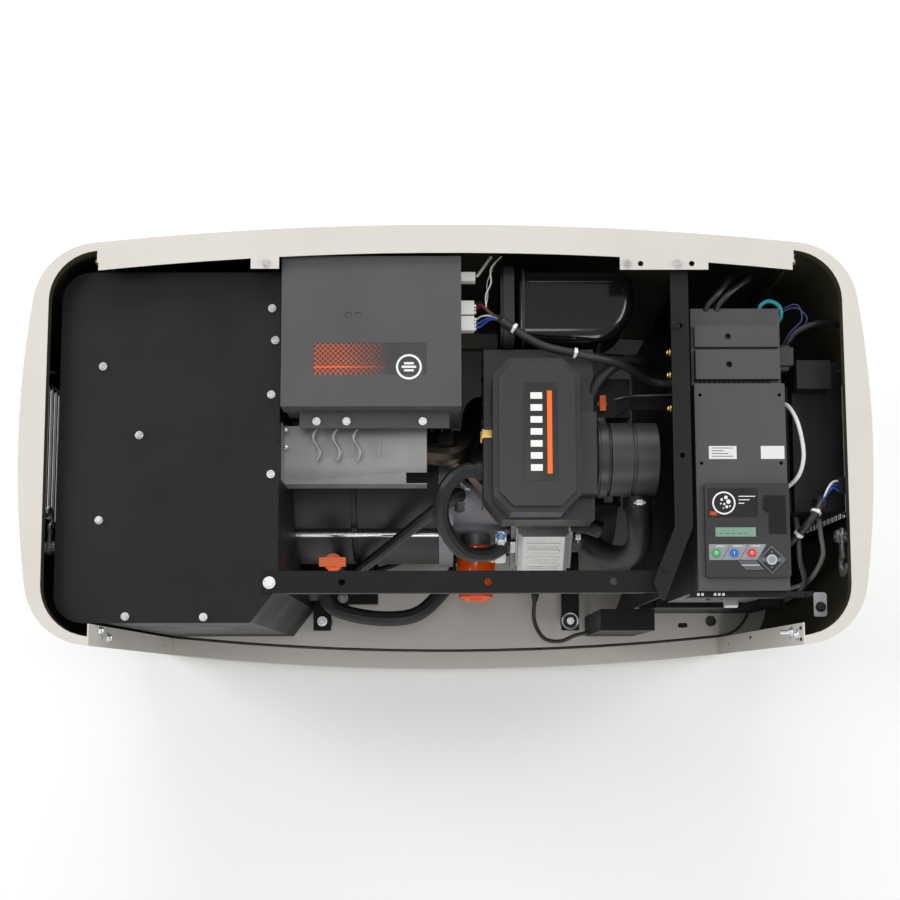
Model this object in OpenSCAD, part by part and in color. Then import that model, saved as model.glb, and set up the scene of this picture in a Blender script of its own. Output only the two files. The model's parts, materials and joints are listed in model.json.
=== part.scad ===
// Air-cooled home standby generator, shown as it stands for service: roof and front door off.
// Millimetres. +Z up, -Y is the front, origin on the ground at the middle of the base.

/* [Enclosure] */
// Length of the enclosure over its bowed ends
body_l = 1219; // [1190:1:1300]
// Depth of the enclosure over its bowed front and back
body_d = 635; // [625:1:680]
// Height of the end panels' top lip above the ground
body_h = 610; // [606:1:660]
// Radius of the four upright corners
corner_r = 95; // [80:1:110]
// How far the front and back bow outwards
long_bow = 27; // [20:1:32]
// How far the two ends bow outwards
end_bow = 17; // [10:1:20]
// Thickness of the painted sheet steel
sheet = 2; // [1.5:0.1:3]
// Length of the front opening between the end panels' flanges
opening_l = 1004; // [980:1:1010]
// Width of the end panels' upright flanges
flange_w = 30; // [24:1:31]

/* [Base] */
// Height of the base skirt
base_h = 65; // [60:1:80]
// Width of the ledge on top of the skirt
ledge_w = 31; // [26:1:36]
// Slot between the ledge and the floor pan, where the front door drops in
door_gap = 5; // [3:0.5:7]
// Radius of the anchor slots in the floor
slot_r = 4.5; // [4:0.1:6]
// Length of the anchor slots, end to end
slot_l = 18; // [14:1:24]
// Height of the rubber isolators
isolator_h = 22; // [18:1:24]

/* [Alternator and engine] */
// Outer radius of the alternator can
can_r = 145; // [130:1:148]
// Height of the crankshaft above the ground
crank_z = 240; // [238:1:260]
// Crankshaft line, measured back from the middle of the base
crank_y = 5; // [0:1:10]
// Radius of the shaft
shaft_r = 20; // [16:1:24]
// Running clearance between the shaft and its bearings
running_gap = 0.05; // [0.02:0.01:0.1]
// Air gap between the rotor and the stator
air_gap = 1.5; // [1:0.1:3]
// Distance from the crankshaft to the face of a valve cover
bank_reach = 215; // [208:1:222]
// Lean of each cylinder from upright
bank_angle = 45; // [42:1:46]

/* [Controls] */
// Thickness of the controller's bezel
bezel_t = 7; // [5:0.5:10]
// Radius of the mode buttons
button_r = 6; // [5:0.25:7]
// Clearance round every button
button_gap = 0.4; // [0.3:0.05:0.6]
// Size of the navigation diamond, corner to corner
nav_size = 48; // [40:1:50]
// Radius of the enter button
enter_r = 8; // [6:0.5:9]

/* [Service parts] */
// Radius of the oil filter
filter_r = 34; // [30:1:38]
// Radius of the dipstick tube
tube_r = 11; // [9:0.5:13]
// Radius of the lid locks' pivots
pivot_r = 5; // [4:0.5:6]
// Thickness of the lid locks' hooks
hook_t = 4; // [3:0.5:5]

/* [Hidden] */

paint = "#D8D5CE";
black = "#1E1E1E";
moulded = "#3A3A3A";
zinc = "#C9CED0";
cast = "#A8A8A6";
orange = "#E8540A";
rubber = "#262626";

eps = 0.01;
fit = 0.3;      // gap between two pieces that only rest near each other
open_x = opening_l / 2;
floor_z = base_h - sheet;
floor_inset = ledge_w + door_gap;
seam_t = 1;     // width of the seam lines in the ledge

// ---- Plan outline: two long arcs and two end arcs, joined by tangent corner arcs ----

long_steps = 16;
corner_steps = 10;
end_steps = 6;

function arc_radius(half_chord, bow) = (half_chord ^ 2 + bow ^ 2) / (2 * bow);

// Where circles round a and b, of radii ra and rb, cross: the crossing with the larger y.
function crossing(a, ra, b, rb) =
    let (
        d = norm(b - a),
        u = (b - a) / d,
        along = (ra ^ 2 - rb ^ 2 + d ^ 2) / (2 * d),
        off = sqrt(ra ^ 2 - along ^ 2)
    )
    a + along * u + off * [-u.y, u.x] * (u.x >= 0 ? 1 : -1);

// A quarter of the outline, clockwise from the middle of the back to the middle of the right end.
function quarter(l, d, r, bow, ebow, inset) =
    let (
        long_r = arc_radius(l / 2 - r, bow),
        end_r = arc_radius(d / 2 - r, ebow),
        c1 = [0, d / 2 - long_r],
        c2 = [l / 2 - end_r, 0],
        p = crossing(c1, long_r - r, c2, end_r - r),
        a1 = atan2(p.y - c1.y, p.x - c1.x),
        a2 = atan2(p.y - c2.y, p.x - c2.x)
    )
    concat(
        [for (i = [0:long_steps - 1]) let (a = 90 - i / long_steps * (90 - a1))
            c1 + (long_r - inset) * [cos(a), sin(a)]],
        [for (i = [0:corner_steps]) let (a = a1 - i / corner_steps * (a1 - a2))
            p + (r - inset) * [cos(a), sin(a)]],
        [for (i = [1:end_steps]) let (a = a2 * (1 - i / end_steps))
            c2 + (end_r - inset) * [cos(a), sin(a)]]
    );

function backwards(v) = [for (i = [len(v) - 1:-1:0]) v[i]];

// The whole closed outline from its quarter, without doubled points on the axes.
function whole(q) =
    let (
        n = len(q),
        lower = [for (i = [n - 2:-1:0]) [q[i].x, -q[i].y]],
        left = [for (i = [1:n - 1]) [-q[i].x, -q[i].y]],
        upper = [for (i = [n - 2:-1:1]) [-q[i].x, q[i].y]]
    )
    concat(q, lower, left, upper);

function outline(inset) = whole(quarter(body_l, body_d, corner_r, long_bow, end_bow, inset));

// The opening inside the top lip: nearly straight at the ends, so the lip is widest mid-end.
lip_end_w = 37;
lip_side_w = 11;
lip_corner_r = 74;
function lip_opening(inset) = whole(quarter(
    body_l - 2 * lip_end_w, body_d - 2 * lip_side_w, lip_corner_r, long_bow, 0.5, inset
));

// Y of the back outline at a given x.
long_arc_r = arc_radius(body_l / 2 - corner_r, long_bow);
function back_y(x) = body_d / 2 - long_arc_r + sqrt(long_arc_r ^ 2 - x ^ 2);
// X of the right outline at a given y.
end_arc_r = arc_radius(body_d / 2 - corner_r, end_bow);
function end_x(y) = body_l / 2 - end_arc_r + sqrt(end_arc_r ^ 2 - y ^ 2);

module prism(points, z0, z1) {
    translate([0, 0, z0]) linear_extrude(z1 - z0) polygon(points);
}

module ring(outer, inner, z0, z1) {
    translate([0, 0, z0]) linear_extrude(z1 - z0) difference() {
        polygon(outer);
        polygon(inner);
    }
}

// A box from its low corner to its high corner.
module box(a, b) {
    translate(a) cube(b - a);
}

// A cylinder along x, y or z between two positions.
module rod_x(r, x0, x1, y, z) {
    translate([x0, y, z]) rotate([0, 90, 0]) cylinder(r = r, h = x1 - x0, $fn = 48);
}

module rod_y(r, y0, y1, x, z) {
    translate([x, y1, z]) rotate([90, 0, 0]) cylinder(r = r, h = y1 - y0, $fn = 48);
}

module rod_z(r, z0, z1, x, y) {
    translate([x, y, z0]) cylinder(r = r, h = z1 - z0, $fn = 48);
}

// A prism whose section lies in the YZ plane, between two x positions.
module prism_x(points, x0, x1) {
    translate([x0, 0, 0]) rotate([90, 0, 90]) linear_extrude(x1 - x0) polygon(points);
}

module both_ends() {
    children();
    mirror([1, 0, 0]) children();
}

module four_corners(x, y) {
    for (sx = [-1, 1], sy = [-1, 1]) translate([sx * x, sy * y, 0]) children();
}

// A bolt with a washer face and a hexagon, standing on a face at z.
module hex_bolt(x, y, z, r, head = 4) {
    rod_z(r, z, z + 1.2, x, y);
    translate([x, y, z + 1.2 - eps]) cylinder(r = r * 0.8, h = head, $fn = 6);
}

// ---- Tubes swept along a smooth route ----

function catmull(a, b, c, d, t) = 0.5 * (
    2 * b + (c - a) * t + (2 * a - 5 * b + 4 * c - d) * t ^ 2 + (3 * b - a - 3 * c + d) * t ^ 3
);

// A smooth curve through hand-placed points, with `per` steps between each two.
function smooth(p, per) =
    let (n = len(p) - 1)
    concat(
        [for (i = [0:n - 1], s = [0:per - 1]) catmull(
            p[max(i - 1, 0)], p[i], p[i + 1], p[min(i + 2, n)], s / per
        )],
        [p[n]]
    );

function unit(v) = v / norm(v);
function tangents(p) = [for (i = [0:len(p) - 1]) unit(p[min(i + 1, len(p) - 1)] - p[max(i - 1, 0)])];

// A normal at each point, carried along the route without twisting.
function normals(t, made = []) =
    len(made) == len(t) ? made
    : let (
        last = len(made) == 0 ? (abs(t[0].z) < 0.8 ? [0, 0, 1] : [1, 0, 0]) : made[len(made) - 1],
        now = t[len(made)]
    )
    normals(t, concat(made, [unit(last - (last * now) * now)]));

module tube(route, r, per = 4, sides = 10) {
    p = smooth(route, per);
    t = tangents(p);
    n = normals(t);
    last = len(p) - 1;
    points = [for (i = [0:last], k = [0:sides - 1]) let (a = 360 * k / sides)
        p[i] + r * (cos(a) * n[i] + sin(a) * cross(t[i], n[i]))];
    walls = [for (i = [0:last - 1], k = [0:sides - 1]) let (next = (k + 1) % sides)
        [i * sides + k, (i + 1) * sides + k, (i + 1) * sides + next, i * sides + next]];
    near_end = [for (k = [0:sides - 1]) k];
    far_end = [for (k = [sides - 1:-1:0]) last * sides + k];
    polyhedron(points, concat([near_end], walls, [far_end]));
}

// ---- Base ----

anchor_x = 438;
anchor_y = 238;
isolator_x = 227;
isolator_y = 231;
bottom_flange_w = 60;

module base_skirt() color(paint) {
    difference() {
        union() {
            ring(outline(0), outline(sheet), 0, base_h);
            ring(outline(0), outline(bottom_flange_w), 0, sheet);
            ring(outline(0), outline(ledge_w), base_h - sheet, base_h);
            ring(outline(ledge_w - sheet), outline(ledge_w), base_h - 22, base_h);
        }
        // seams in the ledge where the front and rear pieces of the skirt meet the ends
        for (x = [-1, 1], y = [-1, 1])
            translate([x * (open_x + 4), y * 290, base_h]) cube([seam_t, 100, 2], center = true);
    }
}

module floor_pan() color(paint) {
    difference() {
        union() {
            prism(outline(floor_inset), floor_z, base_h);
            ring(outline(floor_inset), outline(floor_inset + sheet), sheet, base_h);
        }
        four_corners(anchor_x, anchor_y) for (x = [-1, 1])
            translate([x * (slot_l / 2 - slot_r), 0, 0]) cylinder(r = slot_r, h = 200, $fn = 32);
        four_corners(anchor_x, anchor_y) translate([0, 0, 100])
            cube([slot_l - 2 * slot_r, 2 * slot_r, 200], center = true);
        four_corners(anchor_x + 52, anchor_y - 8) cylinder(r = 10, h = 200, $fn = 32);
    }
}

// ---- Enclosure panels ----

lock_z = 535;
left_lock_y = -145;
right_lock_y = -130;
barrel_r = 9;
louver_y = 115;
louver_z = [300, 590];

module end_panel(lock_y) {
    difference() {
        union() {
            ring(outline(0), outline(sheet), base_h, body_h);
            ring(outline(0), lip_opening(0), body_h - sheet, body_h);
            ring(lip_opening(-sheet), lip_opening(0), body_h - 14, body_h);
        }
        box([-2000, -1000, 0], [open_x, 1000, 2000]);
        // louver opening
        box([580, 12 - louver_y, louver_z[0] + 12], [640, louver_y - 12, louver_z[1] - 12]);
        rod_x(barrel_r + fit, 560, 640, lock_y, lock_z);
    }
    for (s = [-1, 1]) difference() {
        y0 = back_y(open_x) - sheet / 2;
        low = s > 0 ? y0 - flange_w : -y0;
        box([open_x, low, base_h], [open_x + sheet, low + flange_w, body_h - eps]);
        for (z = [150, 540]) rod_x(3.5, 480, 520, low + flange_w / 2, z);
    }
}

module left_end_panel() color(paint) {
    mirror([1, 0, 0]) end_panel(left_lock_y);
}

module right_end_panel() color(paint) {
    end_panel(right_lock_y);
}

module rear_panel() color(paint) {
    y0 = back_y(open_x);
    difference() {
        union() {
            ring(outline(0), outline(sheet), base_h, body_h);
            ring(outline(0), outline(42), body_h - sheet, body_h);
            // side flanges that bolt to the end panels
            for (x = [-open_x, open_x - sheet])
                box([x, y0 - flange_w, base_h], [x + sheet, y0 - 1, body_h]);
            // tabs the roof is bolted to
            box([-282, 252, body_h - sheet], [-241, 290, body_h]);
            box([252, 250, body_h - sheet], [380, 290, body_h]);
        }
        box([-2000, -1000, -1], [-open_x, 1000, 2000]);
        box([open_x, -1000, -1], [2000, 1000, 2000]);
        box([-2000, -1000, -1], [2000, 200, 2000]);
        for (x = [-open_x - 1, open_x - 4], z = [150, 540])
            rod_x(3.5, x, x + 5, y0 - (flange_w + 1) / 2, z);
        for (x = [282, 356]) rod_z(4, 600, 620, x, 259);
        for (x = [-260, 262, 335]) rod_z(3, 600, 620, x, x < 0 ? 260 : 259);
    }
}

module louver() {
    x1 = end_x(louver_y) - sheet - fit;
    difference() {
        box([x1 - 12, -louver_y, louver_z[0]], [x1, louver_y, louver_z[1]]);
        box([x1 - 20, 14 - louver_y, louver_z[0] + 14], [x1 + 10, louver_y - 14, louver_z[1] - 14]);
    }
    for (z = [louver_z[0] + 22:18:louver_z[1] - 20])
        prism_y([[x1 - 11, z + 9], [x1 - 9.5, z + 10], [x1 - 1, z - 4], [x1 - 2.5, z - 5]],
                louver_y - 13.9);
    for (s = [-1, 1]) prism([[x1 - 1, s * 96], [x1 - 1, s * 112], [x1 - 40, s * 104]], 590, 594);
}

// A prism whose section lies in the XZ plane, from -y to +y.
module prism_y(points, y) {
    translate([0, y, 0]) rotate([90, 0, 0]) linear_extrude(2 * y) polygon(points);
}

module end_louvers() color(black) {
    both_ends() louver();
}

// ---- Lid locks ----

hook_x = 582;
hook_l = 60;

module lock_barrel(y) {
    rod_x(barrel_r, hook_x + hook_t + 2, end_x(abs(y) - 14) + 1, y, lock_z);
    rod_x(14, end_x(abs(y) - 14) + 0.2, end_x(abs(y) - 14) + 3.5, y, lock_z);
    rod_x(pivot_r, hook_x - 6, hook_x + hook_t + 2.01, y, lock_z);
    difference() {
        rod_x(9, hook_x - 7, hook_x - 1, y, lock_z);
        rod_x(2, hook_x - 10, hook_x - 4, y, lock_z);
    }
}

module lock_barrels() color(zinc) {
    lock_barrel(right_lock_y);
    mirror([1, 0, 0]) lock_barrel(left_lock_y);
}

// A question-mark hook in the YZ plane, reaching along +y from its pivot at the origin.
module hook() {
    translate([hook_x, 0, 0]) rotate([90, 0, 90]) linear_extrude(hook_t) difference() {
        union() {
            circle(r = 13, $fn = 48);
            translate([0, -6]) square([hook_l - 18, 12]);
            translate([hook_l - 18, 6]) circle(r = 18, $fn = 48);
        }
        circle(r = pivot_r + running_gap, $fn = 48);
        translate([hook_l - 18, 8]) circle(r = 9, $fn = 48);
        translate([hook_l - 60, 8]) square([42, 30]);
    }
}

module left_hook() color(zinc) {
    translate([0, left_lock_y, lock_z]) mirror([1, 0, 0]) hook();
}

module right_hook() color(zinc) {
    translate([0, right_lock_y, lock_z]) mirror([0, 1, 0]) hook();
}

// ---- Exhaust compartment ----

exhaust_top = 573;
front_screws = [[-501, -110], [-254, -43], [-460, -249], [-348, -250]];
rear_screws = [[-501, 117], [-446, 15], [-255, 204], [-255, 75], [-250, 156]];
rail_screw = [-254, -201];
wall_x = -244;
pipe_y = 5;
pipe_z = 480;
muffler_x = -400;
muffler_z = 330;

// Plan of the exhaust compartment, drawn in by `i`: rounded on the left, cut off at front right.
function exhaust_plan(i) = concat(
    [[wall_x - i, 257 - i], [wall_x - i, -208 + 0.4 * i], [-282 - 0.4 * i, -257 + i]],
    [for (a = [270:-15:180]) [-522, -217] + (40 - i) * [cos(a), sin(a)]],
    [for (a = [180:-15:90]) [-522, 217] + (40 - i) * [cos(a), sin(a)]]
);

module holes(list, z0, z1, r = 2.9) {
    for (s = list) translate([s.x, s.y, z0]) cylinder(r = r, h = z1 - z0, $fn = 24);
}

module exhaust_enclosure() color(black) {
    difference() {
        union() {
            ring(exhaust_plan(0), exhaust_plan(sheet), base_h + fit, exhaust_top);
            ring(exhaust_plan(0), exhaust_plan(24), exhaust_top - sheet, exhaust_top);
        }
        rod_x(can_r + 18, wall_x - 10, wall_x + 10, crank_y, crank_z);
        rod_x(27, wall_x - 10, wall_x + 10, pipe_y, pipe_z);
        box([-580, -100, 300], [-550, 100, 560]);
        holes(concat(front_screws, rear_screws, [rail_screw]), 550, 600);
    }
}

module cover_plate(y0, y1, z) {
    intersection() {
        prism(exhaust_plan(-1.5), z, z + sheet);
        box([-700, y0, 0], [0, y1, 1000]);
    }
}

module rear_exhaust_cover() color(black) {
    difference() {
        cover_plate(-10, 300, exhaust_top);
        holes(rear_screws, 550, 600);
        holes([[-254, -5]], 550, 600);
    }
}

module front_exhaust_cover() color(black) {
    difference() {
        union() {
            cover_plate(-300, 0, exhaust_top + sheet);
            // packing strip under the front edge, so the plate sits level on the rear one
            intersection() {
                ring(exhaust_plan(0), exhaust_plan(22), exhaust_top, exhaust_top + sheet + eps);
                box([-700, -300, 0], [0, -12, 1000]);
            }
        }
        holes(concat(front_screws, [rail_screw]), 550, 600);
    }
}

module muffler() color("#8E8C88") {
    difference() {
        union() {
            rod_y(92, -165, 165, muffler_x, muffler_z);
            for (y = [-168, 162]) rod_y(95, y, y + 6, muffler_x, muffler_z);
            rod_z(25, 400, 455, muffler_x, pipe_y);
            rod_z(38, 449, 455, muffler_x, pipe_y);
            rod_x(24, -556, muffler_x, 60, muffler_z);
            for (y = [-115, 100]) box([muffler_x - 40, y, base_h], [muffler_x + 40, y + 15, muffler_z]);
        }
        rod_y(90, -164, 164, muffler_x, muffler_z);
        rod_z(22, 400, 460, muffler_x, pipe_y);
        rod_x(21, -560, muffler_x, 60, muffler_z);
    }
}

module exhaust_pipes() color("#9A948C") {
    rod_z(22, 455, pipe_z, muffler_x, pipe_y);
    rod_z(38, 455, 461, muffler_x, pipe_y);
    translate([muffler_x, pipe_y, pipe_z]) sphere(r = 22, $fn = 32);
    rod_x(22, muffler_x, -28, pipe_y, pipe_z);
    tube([[-34, 5, 480], [12, 5, 472], [36, 40, 436], [42, 84, 386], [50, 104, 364], [60, 106, 360]], 16);
    rod_x(22, 58, 65.7, 106, 360);
    tube([[-34, 5, 480], [12, 2, 464], [56, -30, 408], [84, -66, 366], [98, -74, 358]], 16);
    rod_x(22, 96, 103.7, -75, 357);
}

// The pressed cover over the hot pipe, with three wide beads.
module heat_shield() color("#9C9C9C") {
    x0 = wall_x + fit;
    x1 = -29;
    t = 1.5;
    difference() {
        prism_x([[40, 470], [40, 520], [-23, 520], [-46, 508], [-46, 466], [-44.5, 466],
            [-44.5, 507], [-22.7, 518.5], [38.5, 518.5], [38.5, 470]], x0, x1);
        box([-60, -60, 505], [0, -30, 530]);
    }
    box([x0, -46, 508], [x0 + t, 40, 545]);
    for (x = [-180, -140, -100]) {
        box([x - 3, -4, 519], [x + 3, 22, 521.5]);
        rod_z(3, 519, 521.5, x, -4);
        rod_z(3, 519, 521.5, x, 22);
    }
}

// ---- Inverter ----

inv_x = [-236, 20];
inv_y = [54, 272];
inv_z = [430, 578];

module inverter_case() color("#4A4A4C") {
    difference() {
        box([inv_x[0], inv_y[0], inv_z[0]], [inv_x[1], inv_y[1], inv_z[1]]);
        box([inv_x[0] + 3, inv_y[0] + 3, inv_z[0] + 6], [inv_x[1] - 3, inv_y[1] - 3, inv_z[1] + 1]);
    }
    for (x = [inv_x[0] + 4:16:inv_x[1] - 4]) box([x, inv_y[0], 405], [x + 3, inv_y[1], inv_z[0] + eps]);
    box([wall_x + fit, 100, 450], [inv_x[0] + eps, 200, 540]);
    // circuit board
    box([inv_x[0] + 2.9, inv_y[0] + 2.9, 520], [inv_x[1] - 2.9, inv_y[1] - 2.9, 522]);
}

module inverter_cover() color("#636363") {
    difference() {
        union() {
            box([-238.2, 51.8, 560], [22.2, 274.2, 600]);
            box([-215, 28, 560], [5, 52, 562]);
        }
        box([inv_x[0] - fit, inv_y[0] - fit, 500], [inv_x[1] + fit, inv_y[1] + fit, inv_z[1] + fit]);
        box([inv_x[0] + 4, inv_y[0] + 4, 570], [inv_x[1] - 4, inv_y[1] - 4, 597.5]);
        // label recess and two dimples
        box([-191, 98, 599.4], [-28, 145, 601]);
        for (x = [-141, -127]) rod_z(5, 598.8, 601, x, 186);
        for (x = [-190, -146, -34]) rod_z(3, 550, 570, x, 38);
    }
}

// ---- Alternator ----

rotor_r = 95;
core_x = [-210, -60];
can_t = 8;

module alternator_can() color("#2C2C2C") {
    difference() {
        rod_x(can_r, -145, -12.3, crank_y, crank_z);
        rod_x(can_r - can_t, -150, -10, crank_y, crank_z);
    }
}

module end_bell() color("#2C2C2C") {
    difference() {
        rod_x(can_r, -269, -155, crank_y, crank_z);
        rod_x(can_r - can_t, -257, -150, crank_y, crank_z);
        rod_x(shaft_r + running_gap, -280, -240, crank_y, crank_z);
        for (a = [30:60:330]) translate([-265, crank_y, crank_z]) rotate([a, 0, 0])
            translate([0, 0, 80]) rod_x(22, -10, 20, 0, 0);
    }
}

module stator() color("#3A3432") {
    difference() {
        union() {
            rod_x(can_r - can_t - fit, core_x[0], core_x[1], crank_y, crank_z);
            rod_x(125, core_x[0] - 20, core_x[1] + 20, crank_y, crank_z);
        }
        rod_x(rotor_r + air_gap, -300, 0, crank_y, crank_z);
    }
}

module rotor() color("#7C7A76") {
    rod_x(shaft_r, -272, 110.01, crank_y, crank_z);
    rod_x(shaft_r, 149.99, 276, crank_y, crank_z);
    rod_x(rotor_r, -205, -65, crank_y, crank_z);
    for (x = [95, 150]) rod_x(52, x, x + 15, crank_y, crank_z);
    rod_x(18, 109, 151, crank_y, crank_z + 32);
    rod_x(30, 15, 29.5, crank_y, crank_z);
}

module adapter_housing() color(cast) {
    difference() {
        union() {
            rod_x(150, -12, 11.7, crank_y, crank_z);
            for (a = [45:90:315]) translate([0, crank_y, crank_z]) rotate([a, 0, 0])
                rod_x(14, -12, 11.7, 152, 0);
        }
        rod_x(120, -20, 20, crank_y, crank_z);
        for (a = [45:90:315]) translate([0, crank_y, crank_z]) rotate([a, 0, 0])
            rod_x(4.6, -20, 20, 152, 0);
    }
}

// ---- Engine ----

case_x = [12, 206];
front_bank_x = [104, 204];
rear_bank_x = [66, 166];

// Stands children up along a cylinder's axis: +1 leans to the front, -1 to the back.
module bank(s) {
    translate([0, crank_y, crank_z]) mirror([0, s < 0 ? 1 : 0, 0]) rotate([bank_angle, 0, 0]) children();
}

function bank_x(s) = s > 0 ? front_bank_x : rear_bank_x;

module crankcase() color(cast) {
    difference() {
        union() {
            box([case_x[0], -85, 92], [case_x[1], 95, 262]);
            rod_x(84, case_x[0], case_x[1], crank_y, crank_z);
            for (s = [-1, 1]) bank(s) box([bank_x(s)[0] + 4, -46, 0], [bank_x(s)[1] - 4, 46, 85]);
            rod_z(9, 255, 414, 22, -48);
            rod_z(12, 255, 300, 22, -48);
            rod_y(26, -105, -84, 52, 200);
            for (x = [40, 160]) box([x, -108, 92], [x + 24, 112, 100]);
        }
        rod_x(62, 30, 186, crank_y, crank_z);
        rod_x(shaft_r + running_gap, 0, 220, crank_y, crank_z);
        rod_x(31, 14.5, 31, crank_y, crank_z);
        rod_z(6, 340, 420, 22, -48);
    }
}

module cylinders() color(cast) {
    for (s = [-1, 1]) bank(s) difference() {
        x = bank_x(s);
        union() {
            box([x[0] + 10, -42, 85.3], [x[1] - 10, 42, 178]);
            for (i = [0:8]) box([x[0], -54, 90 + 10 * i], [x[1], 54, 94 + 10 * i]);
        }
        translate([(x[0] + x[1]) / 2, 0, 80]) cylinder(r = 36, h = 68, $fn = 48);
    }
}

module valve_covers() color("#CBCBC8") {
    for (s = [-1, 1]) bank(s) difference() {
        x = bank_x(s);
        mid = (x[0] + x[1]) / 2;
        union() {
            box([x[0] + 8, -46, 178.3], [x[1] - 8, 46, 186]);
            translate([mid, 0, 0]) prism_y([[-40, 186], [-40, 204], [-33, bank_reach - 2],
                [33, bank_reach - 2], [40, 204], [40, 186]], 42);
            // plain raised ribs
            for (y = [-28:14:28]) box([mid - 26, y - 2, bank_reach - 3], [mid + 26, y + 2, bank_reach]);
        }
        box([x[0] + 16, -36, 170], [x[1] - 16, 36, 200]);
    }
}

blower_x = [206.3, 282];

module blower_housing() color(black) {
    x0 = blower_x[0];
    x1 = blower_x[1];
    difference() {
        union() {
            rod_x(118, x0, x1, crank_y, crank_z);
            box([x0, -60, 300], [x1, 70, 372]);
        }
        rod_x(112, x0 + 3, x1 - 3, crank_y, crank_z);
        rod_x(60, x0 - 5, x0 + 5, crank_y, crank_z);
        rod_x(78, x1 - 10, x1 + 10, crank_y, crank_z);
        box([x0 + 5, -54, 330], [x1 - 6, 64, 380]);
    }
}

module flywheel() color("#55565A") {
    x0 = blower_x[0] + 14;
    difference() {
        union() {
            rod_x(104, x0, x0 + 10, crank_y, crank_z);
            rod_x(34, x0, x0 + 34, crank_y, crank_z);
            for (a = [0:24:336]) translate([0, crank_y, crank_z]) rotate([a, 0, 0])
                box([x0 + 9, 40, -2], [x0 + 40, 102, 2]);
        }
        rod_x(shaft_r + 0.1, x0 - 6, x0 + 60, crank_y, crank_z);
    }
}

module fuel_mixer() color(cast) {
    box([120, -22, 356], [186, 32, 454.7]);
    for (s = [-1, 1]) bank(s) {
        x = s > 0 ? 160 : 146;
        translate([x, 100, 150]) rotate([90, 0, 0]) cylinder(r = 14, h = 45.7, $fn = 32);
        translate([x - 20, 54.3, 130]) cube([40, 6, 36]);
    }
}

// ---- Air intake ----

module airbox_base() color(moulded) {
    outer = [[56, -70], [84, -104], [221, -104], [221, 154.7], [56, 154.7]];
    inner = [[59, -69], [85, -101], [218, -101], [218, 151.7], [59, 151.7]];
    difference() {
        prism(outer, 455, 530);
        prism(inner, 458, 527);
        box([85, -70, 520], [170, 100, 540]);
        rod_z(18, 450, 460, 153, 5);
    }
}

// A rectangle with its corners cut off by `c`.
function octagon(a, b, c) = [
    [a.x, a.y + c], [a.x + c, a.y], [b.x - c, a.y], [b.x, a.y + c],
    [b.x, b.y - c], [b.x - c, b.y], [a.x + c, b.y], [a.x, b.y - c]
];
airbox_plan = octagon([68, -101], [194, 125], 25);
airbox_hollow = octagon([71, -98], [191, 122], 23);
airbox_top = octagon([76, -93], [186, 117], 21);

module airbox_cover() color(moulded) {
    difference() {
        union() {
            prism(airbox_plan, 530, 590);
            prism(airbox_top, 589, 600);
            box([193, -71, 530], [220, 50, 570]);
        }
        prism(airbox_hollow, 520, 587);
        box([190, -66, 520], [216, 45, 566]);
        box([110, -59, 599], [161, 86, 601]);
    }
}

module air_filter() color("#D9C9A3") {
    box([78, -66, 530.3], [184, 96, 534]);
    for (x = [84:10:174]) box([x, -62, 533], [x + 5, 92, 575]);
}

module resonator() color("#4A4A4A") {
    rod_x(50, 221.3, 250, -10, 510);
    rod_x(55, 244, 276, -10, 510);
    rod_x(52, 275, 282, -10, 510);
    rod_x(55, 281, 314, -10, 510);
    difference() {
        rod_x(56, 224, 240, -10, 510);
        rod_x(50, 220, 245, -10, 510);
    }
}

module intake_hose() color(rubber) {
    rod_y(22, -84, -65.4, 290, 492);
    tube([[290, -74, 492], [294, -104, 486], [298, -132, 450], [284, -146, 405],
        [256, -138, 366], [232, -118, 348], [214, -110, 345]], 19, 4, 12);
    rod_x(22, 204.4, 218, -110, 345);
}

module scoop_section(y0, y1, z0, z1, r, x0, x1) {
    translate([x0, 0, 0]) rotate([90, 0, 90]) linear_extrude(x1 - x0) {
        translate([y0, z0]) square([y1 - y0, z1 - z0 - r]);
        translate([y0 + r, z0]) square([y1 - y0 - 2 * r, z1 - z0]);
        for (y = [y0 + r, y1 - r]) translate([y, z1 - r]) circle(r = r, $fn = 40);
    }
}

module intake_scoop() color(black) {
    difference() {
        union() {
            scoop_section(161, 276, 438, 550, 22, 81, 284);
            scoop_section(155, 282, 432, 556, 24, 86, 102);
        }
        scoop_section(164, 273, 441, 547, 20, 70, 281);
    }
}

// ---- Oil ----

module oil_filter() color(orange) {
    rod_y(filter_r, -190, -108, 52, 200);
    rod_y(filter_r - 4, -196, -105.3, 52, 200);
    translate([52, -190, 200]) rotate([90, 0, 0]) cylinder(r1 = filter_r - 4, r2 = 20, h = 13, $fn = 12);
}

dip_x = -180;
dip_y = -153;
dip_z = 385;

module dipstick_tube() color(black) {
    difference() {
        rod_z(tube_r, 190, dip_z, dip_x, dip_y);
        rod_z(tube_r - 2, 194, dip_z + 1, dip_x, dip_y);
    }
    tube([[dip_x, dip_y, 192], [-178, -152, 150], [-150, -146, 114], [-80, -122, 104],
        [-22, -88, 102], [8, -78, 102]], 5);
    rod_x(8, 2, 11.4, -78, 102);
    // bracket from the skid to the tube and on to the alternator
    box([dip_x - 12, dip_y - 28, 230], [dip_x - 6, dip_y + 12.7, 250]);
    box([dip_x - 12, dip_y - 28, 92], [dip_x - 6, dip_y - 22, 250]);
}

module dipstick() color(orange) {
    rod_z(2.5, 197, dip_z, dip_x, dip_y);
    rod_z(tube_r - 2.4, dip_z - 14, dip_z + 1, dip_x, dip_y);
    rod_z(14.5, dip_z + fit, dip_z + 10, dip_x, dip_y);
    translate([dip_x, dip_y, dip_z + 16]) cube([42, 14, 14], center = true);
}

// ---- Hoses ----

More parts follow.
